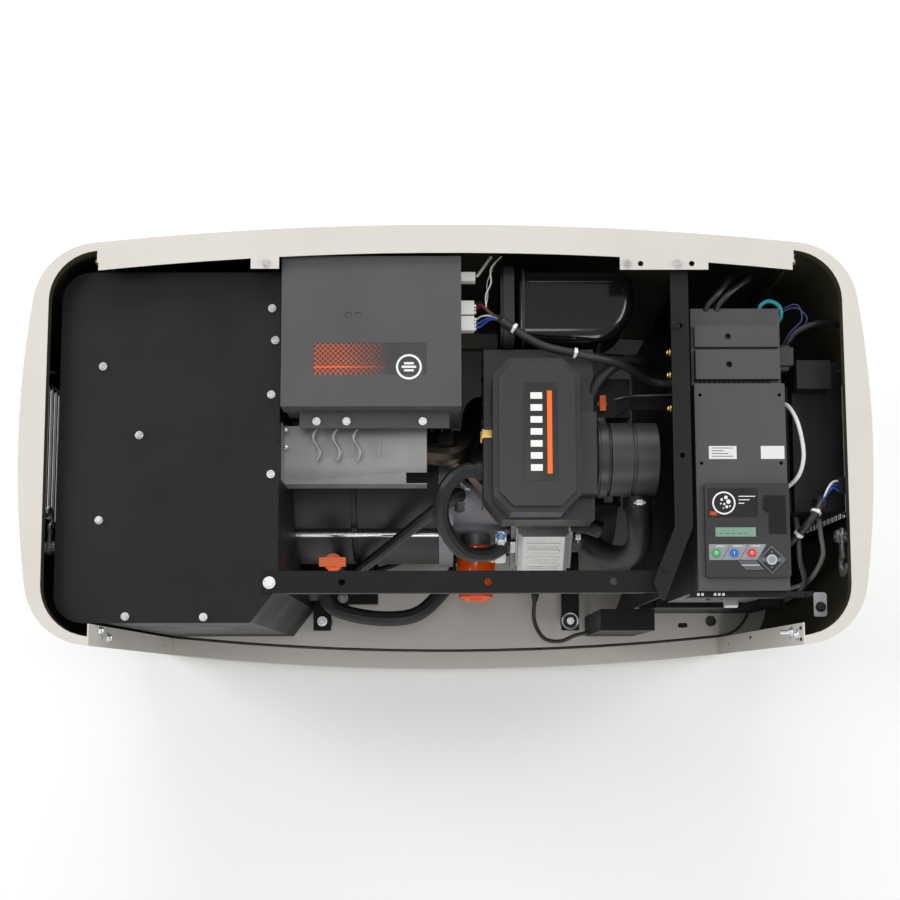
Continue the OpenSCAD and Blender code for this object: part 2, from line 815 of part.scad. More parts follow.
module hoses() color(rubber) {
    // drain hose round the front of the alternator, with a clamp at each end
    rod_x(17, wall_x + fit, wall_x + 14, -180, 150);
    tube([[wall_x + 4, -180, 150], [-220, -185, 149], [-198, -212, 147], [-130, -228, 145],
        [-60, -224, 141], [-16, -190, 131], [18, -140, 122], [30, -98, 120]], 14);
    rod_y(17, -98, -85.3, 30, 120);
    // breather hose down past the alternator
    rod_z(12, 414.3, 424, 22, -48);
    tube([[22, -48, 418], [18, -54, 436], [-20, -76, 425], [-106, -134, 350], [-138, -152, 300],
        [-148, -160, 240], [-144, -156, 180], [-138, -128, 134], [-136, -104, 110], [-136, -101, 97]], 9.5);
    rod_z(12, 92, 98, -136, -101);
    // vent hose from the airbox to the front cylinder
    rod_x(15, 46, 55.7, -24, 496);
    tube([[52, -24, 496], [24, -26, 496], [-2, -52, 484], [-6, -96, 450], [24, -136, 408],
        [66, -138, 370], [96, -122, 358]], 12);
    rod_x(15, 94, 103.6, -119, 357);
}

// ---- Rail and baffles ----

// X of the slanted end of the engine baffle, which also stops the rail.
function slant_x(y) = 350 + (y + 115) * 0.3826;

module front_rail() color(black) {
    difference() {
        union() {
            prism([[-265, -216], [slant_x(-216) - 2 * fit, -216], [slant_x(-184) - 2 * fit, -184],
                [-265, -184]], 577, 580);
            for (y = [-216, -186]) box([-232, y, 560], [286, y + 2, 578]);
        }
        translate([0, 0, 570]) holes([rail_screw], 0, 20, 3.4);
        for (x = [-254, -248]) rod_z(3.4, 570, 590, x, rail_screw.y);
        for (x = [-150, 60, 240]) rod_z(5, 570, 590, x, -200);
    }
}

module engine_baffle() color(black) {
    difference() {
        union() {
            box([350, -115, base_h + fit], [352, 257, 600]);
            box([326, -115, 598], [352, 257, 600]);
            prism([[350, -115], [352, -115], [slant_x(-221.7) + 2.1, -221.7], [slant_x(-221.7), -221.7]],
                base_h + fit, 598);
            prism([[326, -114], [326, -123], [294, -203], [305, -228], [311, -228], [352, -123],
                [352, -114]], 598, 600);
        }
        rod_x(85, 340, 360, crank_y, crank_z);
        rod_x(13, 340, 360, 112, 490);
        for (y = [170, -20]) rod_z(4, 590, 610, 339, y);
    }
}

module corner_baffle() color(black) {
    box([256, -258, base_h + fit], [346, -256, 300]);
    box([256, -258, base_h + fit], [258, -222, 300]);
    box([256, -258, 298], [346, -222, 300]);
}

// ---- Controls ----

ctl_x = [360, 491];
ctl_front = -214;
box_z = 588;
brk_x = [400, 452];
brk_y = [ctl_front - 5, ctl_front + 31];
brk_z = [450, 540];

module control_box() color("#56575A") {
    difference() {
        union() {
            box([ctl_x[0], ctl_front, 340], [ctl_x[1], 87, 587.7]);
            box([ctl_x[0], 86, 340], [ctl_x[1], 204, 572]);
            box([ctl_x[0] + 4, 95, 571], [ctl_x[1] - 4, 139, 584]);
            box([ctl_x[0] + 4, 144, 571], [ctl_x[1] - 4, 176, 580]);
        }
        box([ctl_x[0] + 2, ctl_front + 2, 342], [ctl_x[1] - 2, 85, 600]);
        box([brk_x[0] - fit, ctl_front - 1, brk_z[0] - fit],
            [brk_x[1] + fit, ctl_front + 3, brk_z[1] + fit]);
        box([ctl_x[0] + 2, 95, 342], [ctl_x[1] - 2, 202, 569]);
        for (y = [160, 117]) rod_z(4.5, 570, 600, 413, y);
    }
    for (y = [-70, 40]) box([352.3, y, 400], [ctl_x[0] + eps, y + 30, 440]);
}

bez_x = [370, 491];
bez_y = [-196, -60];
bez_z = 590.3;
bez_top = bez_z + bezel_t;
mode_y = -161;
mode_x = [384.5, 410, 435.3];
nav_c = [463.4, -170.8];
esc_c = [434.5, -178.6];
key_z = bez_z + 1.2;

module control_panel() color("#58595B") {
    difference() {
        union() {
            box([ctl_x[0], ctl_front, box_z], [ctl_x[1], 87, 590]);
            box([ctl_x[0] + 3, ctl_front + 3, 575], [ctl_x[1] - 3, ctl_front + 5, box_z + eps]);
        }
        for (y = [-30, 70], x = [368, 483]) rod_z(2.5, 580, 600, x, y);
    }
}

module diamond(c, half, z0, z1) {
    translate([c.x, c.y, z0]) cylinder(r = half, h = z1 - z0, $fn = 4);
}

module key_shape(g, z0, z1) {
    c = esc_c;
    prism([[c.x - 8.5 - 0.5 * g, c.y - 7 - g], [c.x + 18.5 + 2.2 * g, c.y - 7 - g],
        [c.x + 6.5 + 0.5 * g, c.y + 7 + g], [c.x - 20.5 - 2.2 * g, c.y + 7 + g]], z0, z1);
}

module controller_bezel() color("#2B2C2E") {
    difference() {
        translate([0, 0, bez_z]) linear_extrude(bezel_t) {
            translate([bez_x[0] + 5, bez_y[0]]) square([bez_x[1] - bez_x[0] - 10, bez_y[1] - bez_y[0]]);
            translate([bez_x[0], bez_y[0] + 5]) square([bez_x[1] - bez_x[0], bez_y[1] - bez_y[0] - 10]);
            for (x = [bez_x[0] + 5, bez_x[1] - 5], y = [bez_y[0] + 5, bez_y[1] - 5])
                translate([x, y]) circle(r = 5, $fn = 32);
        }
        // label panel, display window and port cover
        box([374, -110, bez_top - 0.8], [446, -68, bez_top + 1]);
        box([384, -138, bez_top - 1.6], [446, -123.5, bez_top + 1]);
        box([452, -134, bez_top - 1], [487, -78, bez_top + 1]);
        for (x = mode_x) {
            rod_z(button_r + button_gap, bez_z - 1, bez_top + 1, x, mode_y);
            rod_z(button_r + 1.5 + button_gap, bez_z - 1, bez_z + 3, x, mode_y);
        }
        diamond(nav_c, nav_size / 2 - 3 + button_gap * 1.5, bez_z - 1, bez_top + 1);
        key_shape(button_gap, bez_z - 1, bez_top + 1);
    }
}

module mode_button(x) {
    rod_z(button_r, key_z, bez_top + 2, x, mode_y);
    rod_z(button_r + 1.5, key_z, bez_z + 2.6, x, mode_y);
}

module auto_button() color("#2E9A4A") {
    mode_button(mode_x[0]);
}

module manual_button() color("#2C63B8") {
    mode_button(mode_x[1]);
}

module off_button() color("#C2262B") {
    mode_button(mode_x[2]);
}

module nav_pad() color("#D8D8D6") {
    difference() {
        diamond(nav_c, nav_size / 2 - 3, key_z, bez_top + 1.5);
        rod_z(enter_r + button_gap, 500, 700, nav_c.x, nav_c.y);
    }
}

module enter_button() color("#E6E6E4") {
    rod_z(enter_r, key_z, bez_top + 2, nav_c.x, nav_c.y);
}

module escape_button() color("#D8D8D6") {
    key_shape(0, key_z, bez_top + 1.2);
}

module breaker_body() color("#161616") {
    difference() {
        box([brk_x[0], brk_y[0], brk_z[0]], [brk_x[1], brk_y[1], brk_z[1]]);
        box([brk_x[0] + 12, brk_y[0] - 3, 478], [brk_x[1] - 12, brk_y[0] + 16, 512]);
        rod_x(3 + running_gap, brk_x[0] - 1, brk_x[1] + 1, brk_y[0] + 10, 495);
    }
}

module breaker_toggle() color("#E4E4E0") {
    rod_x(3, brk_x[0] + 2, brk_x[1] - 2, brk_y[0] + 10, 495);
    rod_x(5.5, brk_x[0] + 12.5, brk_x[1] - 12.5, brk_y[0] + 10, 495);
    translate([brk_x[0] + 16, brk_y[0] + 10, 495]) rotate([-20, 0, 0])
        translate([0, -24, -4]) cube([20, 24, 8]);
}

// ---- Battery, duct, regulator ----

module battery() color("#1B1B1D") {
    box([357, -216, base_h + fit], [565, -43, 245]);
    box([355, -218, 244], [567, -41, 262]);
    for (x = [385, 535]) rod_z(9, 261, 276, x, -190);
    for (x = [390:36:534]) rod_z(11, 261, 265, x, -110);
}

module air_duct() color(moulded) {
    x1 = end_x(louver_y) - sheet - fit - 12.3;
    difference() {
        union() {
            box([515, -94, 330], [x1, 132, 540]);
            box([515, 84, 330], [566, 127, 570]);
            box([507, -94, 330], [x1, -58, 524]);
        }
        box([518, -88, 333], [x1 + 1, 129, 537]);
        box([518, 87, 400], [563, 124, 567]);
    }
    box([507, -60, 516], [516, 100, 520]);
}

module fuel_regulator() color("#B9BAB6") {
    difference() {
        union() {
            box([224, 62, 430], [284, 122, 478]);
            rod_z(29, 477, 484, 254, 92);
            rod_z(9, 477, 492, 238, 78);
            box([283, 80, 446], [349.7, 104, 450]);
            rod_x(9, 186.3, 226, 110, 440);
        }
        rod_z(4 + running_gap, 482, 500, 238, 78);
    }
}

module fuel_selector() color(orange) {
    rod_z(4, 483, 494, 238, 78);
    rod_z(7, 492.5, 500, 238, 78);
    translate([238, 78, 503]) cube([9, 24, 7], center = true);
}

// ---- Skid, isolators ----

skid_z = base_h + isolator_h;
skid_top = 91.7;

module skid_frame() color(black) {
    difference() {
        union() {
            for (x = [-isolator_x, isolator_x])
                box([x - 16, -248, skid_z], [x + 16, 248, skid_top]);
            for (y = [-111, 91]) box([-242, y, skid_z], [243, y + 20, skid_top]);
            box([-211, -200, skid_z], [-125, -95, skid_top]);
        }
        four_corners(isolator_x, isolator_y) rod_z(5, 80, 100, 0, 0);
    }
    // saddles under the alternator
    difference() {
        for (x = [-240, -110]) box([x, -85, skid_z + 1], [x + 26, 95, 150]);
        rod_x(can_r + fit, -300, 0, crank_y, crank_z);
    }
}

module isolators() color(rubber) {
    four_corners(isolator_x, isolator_y) difference() {
        rod_z(16.5, base_h, skid_z, 0, 0);
        rod_z(4, base_h - 1, skid_z + 1, 0, 0);
    }
}

// ---- Fasteners ----

module screw(x, y, z, r = 6, shank = 9) {
    hex_bolt(x, y, z, r);
    rod_z(2.4, z - shank, z + 1, x, y);
}

module fasteners() color(zinc) {
    for (s = front_screws) screw(s.x, s.y, exhaust_top + 2 * sheet);
    for (s = rear_screws) screw(s.x, s.y, exhaust_top + sheet);
    screw(rail_screw.x, rail_screw.y, 580, 9, 16);
    for (x = [-260, 262, 335]) screw(x, x < 0 ? 260 : 259, body_h, 6, 6);
    for (x = [-190, -146, -34]) screw(x, 38, 562, 6, 6);
    // long studs clamping the alternator
    for (a = [45:90:315]) translate([0, crank_y, crank_z]) rotate([a, 0, 0]) {
        rod_x(4.3, -258, 16, 152, 0);
        rod_x(6.5, -262, -256, 152, 0);
    }
    four_corners(isolator_x, isolator_y) screw(0, 0, skid_top, 9, 20);
}

// ---- Wiring ----

module wiring() color("#1A1A1A") {
    // main loom from the inverter to the control box
    rod_x(8, 22.5, 34, 206, 566);
    tube([[26, 206, 566], [52, 203, 568], [86, 186, 566], [140, 152, 564], [200, 139, 558],
        [262, 132, 530], [310, 116, 494], [336, 112, 490], [350, 112, 490]], 6);
    rod_x(8, 349, 359.7, 112, 490);
    // plugs on the inverter
    box([20.3, 229, 545], [42, 241, 559]);
    box([20.3, 174, 545], [42, 196, 558]);
    // harness from the air duct into the control box
    rod_z(9, 540.3, 548, 546, -78);
    tube([[546, -78, 544], [546, -80, 556], [532, -104, 560], [512, -132, 552], [498, -146, 544]], 6.5);
    rod_x(9, 491.4, 500, -147, 543);
    // sensor cable on the control box
    rod_x(4, 491.4, 497, 62, 556);
    tube([[495, 62, 556], [500, 56, 558], [503, 36, 560], [503, 0, 560], [502, -36, 558],
        [499, -56, 555], [495, -62, 552]], 2.5, 4, 8);
    rod_x(4, 491.4, 497, -62, 552);
    // crank sensor lead along the floor
    rod_y(6, -104, -85.4, 162, 140);
    tube([[162, -96, 140], [162, -150, 136], [160, -206, 112], [178, -240, 103], [208, -246, 103],
        [234, -236, 108], [250, -230, 112]], 3.6, 4, 8);
    rod_x(5, 244, 255.6, -230, 112);
    // battery leads
    for (x = [385, 535]) rod_z(8, 276.3, 281, x, -190);
    for (x = [402, 462]) rod_z(7, 332, 339.7, x, -140);
    tube([[385, -190, 279], [386, -186, 298], [394, -166, 318], [401, -144, 328],
        [402, -140, 336]], 5, 4, 8);
    tube([[535, -190, 279], [530, -186, 300], [500, -168, 318], [468, -146, 328],
        [462, -140, 336]], 5, 4, 8);
}

base_skirt();
floor_pan();
left_end_panel();
right_end_panel();
rear_panel();
end_louvers();
lock_barrels();
rear_exhaust_cover();
front_exhaust_cover();
exhaust_enclosure();
muffler();
exhaust_pipes();
heat_shield();
inverter_case();
inverter_cover();
stator();
alternator_can();
end_bell();
adapter_housing();
crankcase();
cylinders();
valve_covers();
blower_housing();
airbox_base();
airbox_cover();
air_filter();
resonator();
intake_hose();
fuel_mixer();
intake_scoop();
oil_filter();
dipstick_tube();
hoses();
front_rail();
engine_baffle();
corner_baffle();
control_box();
control_panel();
controller_bezel();
breaker_body();
battery();
air_duct();
fuel_regulator();
skid_frame();
isolators();
fasteners();
wiring();
left_hook();
right_hook();
rotor();
flywheel();
fuel_selector();
dipstick();
auto_button();
manual_button();
off_button();
nav_pad();
enter_button();
escape_button();
breaker_toggle();
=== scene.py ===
# %% [markdown]
# # A home standby generator, roof and door off
# The real machine is a bowed sheet-steel enclosure with a V-twin engine, an alternator, an inverter
# and a control box packed inside. The CAD frame gives every piece its place and size. This file
# dresses that frame: it rounds the edges that a press or a mould would round, adds the small parts
# that make the machine believable, and gives each surface the finish it really has.

import json
import math

import bmesh
import bpy
from mathutils import Matrix, Vector


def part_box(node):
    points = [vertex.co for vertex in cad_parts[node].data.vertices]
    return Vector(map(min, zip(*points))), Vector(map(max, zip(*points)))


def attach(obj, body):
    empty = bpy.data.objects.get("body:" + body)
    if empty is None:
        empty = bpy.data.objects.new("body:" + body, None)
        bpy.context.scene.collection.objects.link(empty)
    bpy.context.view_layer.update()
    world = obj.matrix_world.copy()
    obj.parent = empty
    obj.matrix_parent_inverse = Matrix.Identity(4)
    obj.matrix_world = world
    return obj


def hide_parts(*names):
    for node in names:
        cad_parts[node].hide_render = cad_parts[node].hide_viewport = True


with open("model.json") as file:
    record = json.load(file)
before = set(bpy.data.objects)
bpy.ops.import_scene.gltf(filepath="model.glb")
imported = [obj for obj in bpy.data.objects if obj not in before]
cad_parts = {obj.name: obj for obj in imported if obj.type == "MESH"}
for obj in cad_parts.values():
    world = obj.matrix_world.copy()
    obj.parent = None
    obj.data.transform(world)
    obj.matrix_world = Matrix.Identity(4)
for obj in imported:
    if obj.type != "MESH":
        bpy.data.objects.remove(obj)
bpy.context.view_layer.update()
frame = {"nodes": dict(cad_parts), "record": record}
MM = 0.001
BODY = "enclosure"

# %% [markdown]
# ## Camera, floor and light
# The machine is seen from almost straight above, a little in front of its middle. A small shift of
# the lens keeps the picture square while the camera hangs nearly level, as a copy stand would hold it.
# Four soft boxes stand round the machine, so no broad light mirrors off its top into the camera, and
# a small weak one fills from above. A pale floor carries the shadow.

# %% Camera
camera_data = bpy.data.cameras.new("camera")
camera_data.lens = 48.88
camera_data.sensor_width = 36.0
camera_data.shift_y = 0.13
camera_data.clip_start = 0.05
camera_data.clip_end = 50.0
camera = bpy.data.objects.new("camera", camera_data)
camera.location = (-0.0001, -0.3482, 2.3269)
camera.rotation_euler = (math.radians(5.54), math.radians(-0.17), math.radians(-0.11))
bpy.context.collection.objects.link(camera)
bpy.context.scene.camera = camera
print("camera at", tuple(camera.location))


# %% Colour from a hex code
def linear(hex_code):
    """An sRGB hex code as the linear RGBA that shaders take."""
    parts = [int(hex_code[i : i + 2], 16) / 255 for i in (1, 3, 5)]
    return (*[c / 12.92 if c <= 0.04045 else ((c + 0.055) / 1.055) ** 2.4 for c in parts], 1.0)


# %% One helper that adds a node
def add(tree, kind, settings=None, links=None):
    """A new node with its settings (sockets or properties) and its incoming links."""
    node = tree.nodes.new(kind)
    for key, value in (settings or {}).items():
        if isinstance(key, int) or key in node.inputs:
            node.inputs[key].default_value = value
        else:
            setattr(node, key, value)
    for key, socket in (links or {}).items():
        tree.links.new(socket, node.inputs[key])
    return node


# %% Floor and lights
floor_bm = bmesh.new()
bmesh.ops.create_grid(floor_bm, x_segments=1, y_segments=1, size=12.0)
floor_mesh = bpy.data.meshes.new("studio_floor")
floor_bm.to_mesh(floor_mesh)
floor_bm.free()
floor = bpy.data.objects.new("studio_floor", floor_mesh)
bpy.context.collection.objects.link(floor)
floor.location.z = -0.0005
floor_paint = bpy.data.materials.new("pale_studio_floor")
floor_paint.use_nodes = True
floor_shader = floor_paint.node_tree.nodes["Principled BSDF"]
floor_shader.inputs["Base Color"].default_value = linear("#F4F4F3")
floor_shader.inputs["Roughness"].default_value = 0.7
floor_mesh.materials.append(floor_paint)


def soft_box(name, location, target, size, power):
    """An area light that looks at a target."""
    data = bpy.data.lights.new(name, "AREA")
    data.shape = "RECTANGLE"
    data.size, data.size_y = size
    data.energy = power
    light = bpy.data.objects.new(name, data)
    light.location = location
    light.rotation_euler = (Vector(target) - Vector(location)).to_track_quat("-Z", "Y").to_euler()
    bpy.context.collection.objects.link(light)


MACHINE_MIDDLE = (0, 0, 0.3)
for name, location, size, power in (
        ("left_soft_box", (-2.9, 0.5, 2.5), (1.6, 2.4), 62),
        ("right_soft_box", (2.9, 0.3, 2.5), (1.6, 2.4), 48),
        ("back_soft_box", (-0.3, 3.1, 2.4), (2.6, 1.4), 62),
        ("front_soft_box", (0.5, -3.2, 2.2), (2.2, 1.4), 34),
        ("top_fill", (0.0, 0.1, 4.6), (1.2, 1.2), 16)):
    soft_box(name, location, MACHINE_MIDDLE, size, power)
world = bpy.data.worlds.new("studio_world")
bpy.context.scene.world = world
world.use_nodes = True
world.node_tree.nodes["Background"].inputs["Color"].default_value = linear("#F2F4F6")
world.node_tree.nodes["Background"].inputs["Strength"].default_value = 0.4
bpy.context.scene.view_settings.view_transform = "Standard"
# %% [markdown]
# ## Finishes
# A finish is a Principled shader with three patterns on it. A fine grain, sized from the real texture
# in millimetres, lifts the surface a little. A wide, faint mottle keeps a large panel from looking
# computed. The roughness wanders with it, because handling polishes some spots and dust dulls others.

# %% A finish from its real values
FINISHES = {}


def finish(name, colour, rough, metallic=0.0, grain_mm=0.8, grain_um=12, mottle=0.08,
           mottle_mm=90, rough_swing=0.08, coat=0.0, ior=1.5, dark=None):
    """A material with a surface grain (spacing in mm, height in micrometres) and a faint mottle."""
    material = bpy.data.materials.new(name)
    material.use_nodes = True
    tree = material.node_tree
    shader = tree.nodes["Principled BSDF"]
    shader.inputs["Metallic"].default_value = metallic
    shader.inputs["IOR"].default_value = ior
    if coat:
        shader.inputs["Coat Weight"].default_value = coat
        shader.inputs["Coat Roughness"].default_value = 0.06
    place = add(tree, "ShaderNodeTexCoord")
    grain = add(tree, "ShaderNodeTexNoise", {"Scale": 1000 / grain_mm, "Detail": 3.0, "Roughness": 0.6},
                {"Vector": place.outputs["Object"]})
    lift = add(tree, "ShaderNodeBump", {"Strength": 1.0, "Distance": grain_um * 1e-6},
               {"Height": grain.outputs["Fac"]})
    tree.links.new(lift.outputs["Normal"], shader.inputs["Normal"])
    cloud = add(tree, "ShaderNodeTexNoise", {"Scale": 1000 / mottle_mm, "Detail": 5.0, "Roughness": 0.65},
                {"Vector": place.outputs["Object"]})
    shade = add(tree, "ShaderNodeValToRGB", {}, {"Fac": cloud.outputs["Fac"]})
    base = linear(colour)
    low = linear(dark) if dark else (*[c * (1 - 2 * mottle) for c in base[:3]], 1.0)
    shade.color_ramp.elements[0].position = 0.30
    shade.color_ramp.elements[0].color = low
    shade.color_ramp.elements[1].position = 0.62
    shade.color_ramp.elements[1].color = base
    tree.links.new(shade.outputs["Color"], shader.inputs["Base Color"])
    wander = add(tree, "ShaderNodeMapRange", {1: 0.3, 2: 0.7, 3: rough - rough_swing, 4: rough + rough_swing},
                 {"Value": cloud.outputs["Fac"]})
    tree.links.new(wander.outputs["Result"], shader.inputs["Roughness"])
    FINISHES[name] = material
    return material


# %% [markdown]
# Powder coat is melted on, so it flows into a soft orange peel about a millimetre across. Textured
# coats wrinkle more and scatter more light. Mould-grained plastic is finer, and gloss plastic is
# nearly flat. Cast aluminium keeps the sand's grain and is a metal. Zinc plate is a thin bright metal.

# %% The machine's finishes
# Colour, roughness, metallic, grain in mm, grain in micrometres, mottle, mottle in mm,
# roughness swing, coat, IOR and the colour of the dark spots
TABLE = {
    "beige_powder_coat": ("#CBC6BE", 0.45, 0, 1.1, 14, 0.02, 160),
    "black_powder_coat": ("#131314", 0.46, 0, 0.9, 30, 0.12, 120, 0.08, 0, 1.36),
    "black_baffle_coat": ("#0C0C0D", 0.5, 0, 0.9, 20, 0.12, 90, 0.08, 0, 1.34),
    "textured_grey_coat": ("#484849", 0.55, 0, 1.3, 70, 0.06),
    "control_grey_coat": ("#454546", 0.5, 0, 1.1, 45, 0.05),
    "wrinkle_black_coat": ("#1C1C1D", 0.5, 0, 1.8, 140, 0.1),
    "sand_cast_aluminium": ("#CDCDCA", 0.42, 0.45, 1, 60, 0.08),
    # painted shade: a darker copy of the cast aluminium for the crankcase, adapter, cylinders and mixer, which
    # lie in shadow
    "shade_darkened_aluminium": ("#85858A", 0.5, 0.8, 1, 60, 0.1),
    # painted shade: a dark olive tone for the inner walls of the end panels and the rear wall, which stand in
    # shadow
    "inner_wall_painted_shade": ("#3A392B", 0.5, 0, 1.4, 18, 0.12, 90),
    "aluminised_sheet": ("#9A9A98", 0.46, 0.65, 1.6, 10, 0.07, 40),
    "zinc_plate": ("#E6E8EA", 0.3, 0.86, 0.5, 5, 0.08, 12),
    "yellow_zinc_plate": ("#D8B46A", 0.27, 1, 0.5, 5, 0.12, 9),
    "blued_zinc_plate": ("#8FA9C9", 0.25, 1, 0.5, 5, 0.1, 9),
    "brass": ("#D6B15E", 0.28, 1, 0.5, 5, 0.1, 12),
    "bare_steel": ("#9A9995", 0.36, 1, 0.8, 10, 0.12),
    "heated_steel": ("#5E544A", 0.38, 1, 0.9, 12, 0.2, 60, 0.08, 0, 1.5, "#6E6257"),
    "moulded_black_nylon": ("#141415", 0.48, 0, 0.7, 18, 0.08, 90, 0.08, 0, 1.4),
    "moulded_grey_nylon": ("#333334", 0.46, 0, 0.8, 20, 0.06),
    "soft_black_plastic": ("#2A2A2B", 0.42, 0, 0.8, 14, 0.06),
    "gloss_black_plastic": ("#111112", 0.16, 0, 2.2, 6, 0.05, 90, 0.04, 0.4),
    "black_hose_rubber": ("#222223", 0.5, 0, 0.8, 16, 0.12, 30),
    "matt_hose_rubber": ("#2C2C2D", 0.68, 0, 1, 26, 0.12, 30),
    # painted shade: flat black for thin patches that stand in for the shadow under the cover lap and the dark
    # inside the flange slots
    "painted_shade_black": ("#1A1A1A", 0.85, 0, 1.4, 160, 0.15),
    "orange_enamel": ("#F0560A", 0.22, 0, 1.6, 8, 0.04, 90, 0.04, 0.6),
    "orange_abs": ("#FF6A0C", 0.32, 0, 0.8, 10, 0.04),
    "filter_paper": ("#D9C9A3", 0.8, 0, 0.6, 30, 0.06),
    "white_nylon": ("#E9E8E4", 0.4, 0, 0.7, 8, 0.03),
    "label_film": ("#D8D8D6", 0.36, 0, 1.2, 3, 0.02),
    "dark_key_film": ("#1A1B1D", 0.3, 0, 0.8, 6, 0.05),
    "dark_grey_key": ("#55575A", 0.34, 0, 0.8, 6, 0.04),
    "grey_key_film": ("#8B8E92", 0.38, 0, 0.8, 6, 0.04),
    "lcd_glass": ("#7C9C8A", 0.12, 0, 3, 1, 0.05, 90, 0.03, 0.8),
    "green_key": ("#2FA24E", 0.3, 0, 0.8, 6, 0.04),
    "blue_key": ("#2B66C2", 0.3, 0, 0.8, 6, 0.04),
    "red_key": ("#CC2A2C", 0.3, 0, 0.8, 6, 0.04),
    "grey_key": ("#D6D6D4", 0.34, 0, 0.8, 6, 0.04),
    "blue_wire": ("#2F4FA8", 0.4, 0, 0.8, 8, 0.06, 20),
    "navy_wire": ("#26305C", 0.42, 0, 0.8, 8, 0.06, 20),
    "teal_wire": ("#1C8C93", 0.4, 0, 0.8, 8, 0.06, 20),
    "red_wire": ("#B5282A", 0.4, 0, 0.8, 8, 0.06, 20),
    "white_wire": ("#DCDCD8", 0.42, 0, 0.8, 8, 0.06, 20),
    "black_wire": ("#1B1B1C", 0.42, 0, 0.8, 8, 0.08, 20),
}
for name, values in TABLE.items():
    finish(name, *values)
print(len(FINISHES), "finishes")
# %% [markdown]
# ## From CAD node to finished piece
# A CAD node is loose triangles with knife edges. Pressed, cast and moulded parts have small rounds
# that catch the light, so each node is copied, its triangles are welded and cleaned, its sharp edges
# are bevelled, and flat and curved faces are shaded apart. The copy then stands for the node.

# %% Which body of the record each node rides on
BODY_OF = {
    node: body
    for body, nodes in frame["record"]["behaviour"]["bodies"].items()
    for node in nodes
}


# %% Shading a piece and hanging it on its CAD body
def smooth_by_angle(mesh, degrees=32):
    """Smooth faces, with every edge sharper than the angle kept hard."""
    bm = bmesh.new()
    bm.from_mesh(mesh)
    limit = math.radians(degrees)
    for face in bm.faces:
        face.smooth = True
    for edge in bm.edges:
        edge.smooth = len(edge.link_faces) == 2 and edge.calc_face_angle(math.pi) < limit
    bm.to_mesh(mesh)
    bm.free()


def piece(name, bm, material, body=BODY, degrees=32, recalc=True):
    """A finished object from a bmesh, at the origin, riding on a CAD body."""
    bmesh.ops.remove_doubles(bm, verts=bm.verts, dist=1e-6)
    if recalc:
        bmesh.ops.recalc_face_normals(bm, faces=bm.faces)
    mesh = bpy.data.meshes.new(name)
    bm.to_mesh(mesh)
    bm.free()
    mesh.materials.append(FINISHES[material])
    smooth_by_angle(mesh, degrees)
    made = bpy.data.objects.new(name, mesh)
    bpy.context.collection.objects.link(made)
    even = made.modifiers.new("even_shading", "WEIGHTED_NORMAL")
    even.keep_sharp = True
    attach(made, body)
    return made


# %% Round a shape's sharp edges
def round_edges(bm, width, segments=2, degrees=28):
    """Bevels every edge sharper than the angle; the width is in metres."""
    sharp = [e for e in bm.edges if len(e.link_faces) == 2
             and math.radians(degrees) < e.calc_face_angle(0.0)]
    if sharp:
        bmesh.ops.bevel(bm, geom=sharp, offset=width, offset_type="OFFSET", segments=segments,
                        profile=0.5, affect="EDGES", clamp_overlap=True, material=-1)
    return bm


def node_copy(node):
    """The node's mesh as a welded, cleaned bmesh."""
    bm = bmesh.new()
    bm.from_mesh(frame["nodes"][node].data)
    bmesh.ops.remove_doubles(bm, verts=bm.verts, dist=2e-6)
    bmesh.ops.dissolve_limit(bm, angle_limit=math.radians(0.6), verts=bm.verts, edges=bm.edges)
    return bm


def refine(node, material, width=0.8, segments=2, degrees=32):
    """Replaces a CAD node by its rounded copy in a real finish; the width is in millimetres."""
    bm = node_copy(node)
    if width:
        round_edges(bm, width * MM, segments)
    made = piece(node + "_finished", bm, material, BODY_OF[node], degrees, recalc=False)
    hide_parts(node)
    return made


# %% Shapes that the small parts are made of
def block(bm, low, high, width=0.6, segments=2):
    """A box between two corners in millimetres, with rounded edges."""
    start = set(bm.verts)
    made = bmesh.ops.create_cube(bm, size=1.0)["verts"]
    low, high = Vector(low) * MM, Vector(high) * MM
    bmesh.ops.scale(bm, vec=high - low, verts=made)
    bmesh.ops.translate(bm, vec=(low + high) / 2, verts=made)
    if width:
        edges = {e for v in made for e in v.link_edges}
        bmesh.ops.bevel(bm, geom=list(edges), offset=width * MM, offset_type="OFFSET",
                        segments=segments, profile=0.5, affect="EDGES", clamp_overlap=True, material=-1)
    return [v for v in bm.verts if v not in start]


def blocks(name, at, boxes, material, width=0.6, segments=2, body=BODY):
    """One piece made of boxes, each given by two corners counted from a point."""
    bm = bmesh.new()
    for low, high in boxes:
        block(bm, Vector(at) + Vector(low), Vector(at) + Vector(high), width, segments)
    piece(name, bm, material, body)


AXES = {"x": Matrix.Rotation(math.pi / 2, 4, "Y"), "y": Matrix.Rotation(-math.pi / 2, 4, "X"),
        "z": Matrix.Identity(4)}


def turned(bm, profile, place, axis="z", steps=32, tilt=None):
    """A lathe piece: a profile of (radius, height) points in mm, spun about an axis through place."""
    start = set(bm.verts)
    line = [bm.verts.new((r * MM, 0, h * MM)) for r, h in profile]
    edges = [bm.edges.new(pair) for pair in zip(line, line[1:])]
    bmesh.ops.spin(bm, geom=line + edges, cent=(0, 0, 0), axis=(0, 0, 1), angle=math.tau,
                   steps=steps, use_merge=True)
    made = [v for v in bm.verts if v not in start]
    bmesh.ops.remove_doubles(bm, verts=made, dist=1e-6)
    made = [v for v in bm.verts if v not in start]
    turn = tilt.to_matrix().to_4x4() if tilt else AXES[axis]
    bmesh.ops.transform(bm, matrix=Matrix.Translation(Vector(place) * MM) @ turn, verts=made)
    return made


def drum(bm, radius, place, length, axis="z", steps=32, width=0.6, tilt=None):
    """A closed cylinder with a small chamfer, starting at place and running along the axis."""
    w = min(width, radius * 0.4, length * 0.4)
    profile = [(0, 0), (radius - w, 0), (radius, w), (radius, length - w), (radius - w, length), (0, length)]
    return turned(bm, profile, place, axis, steps, tilt)


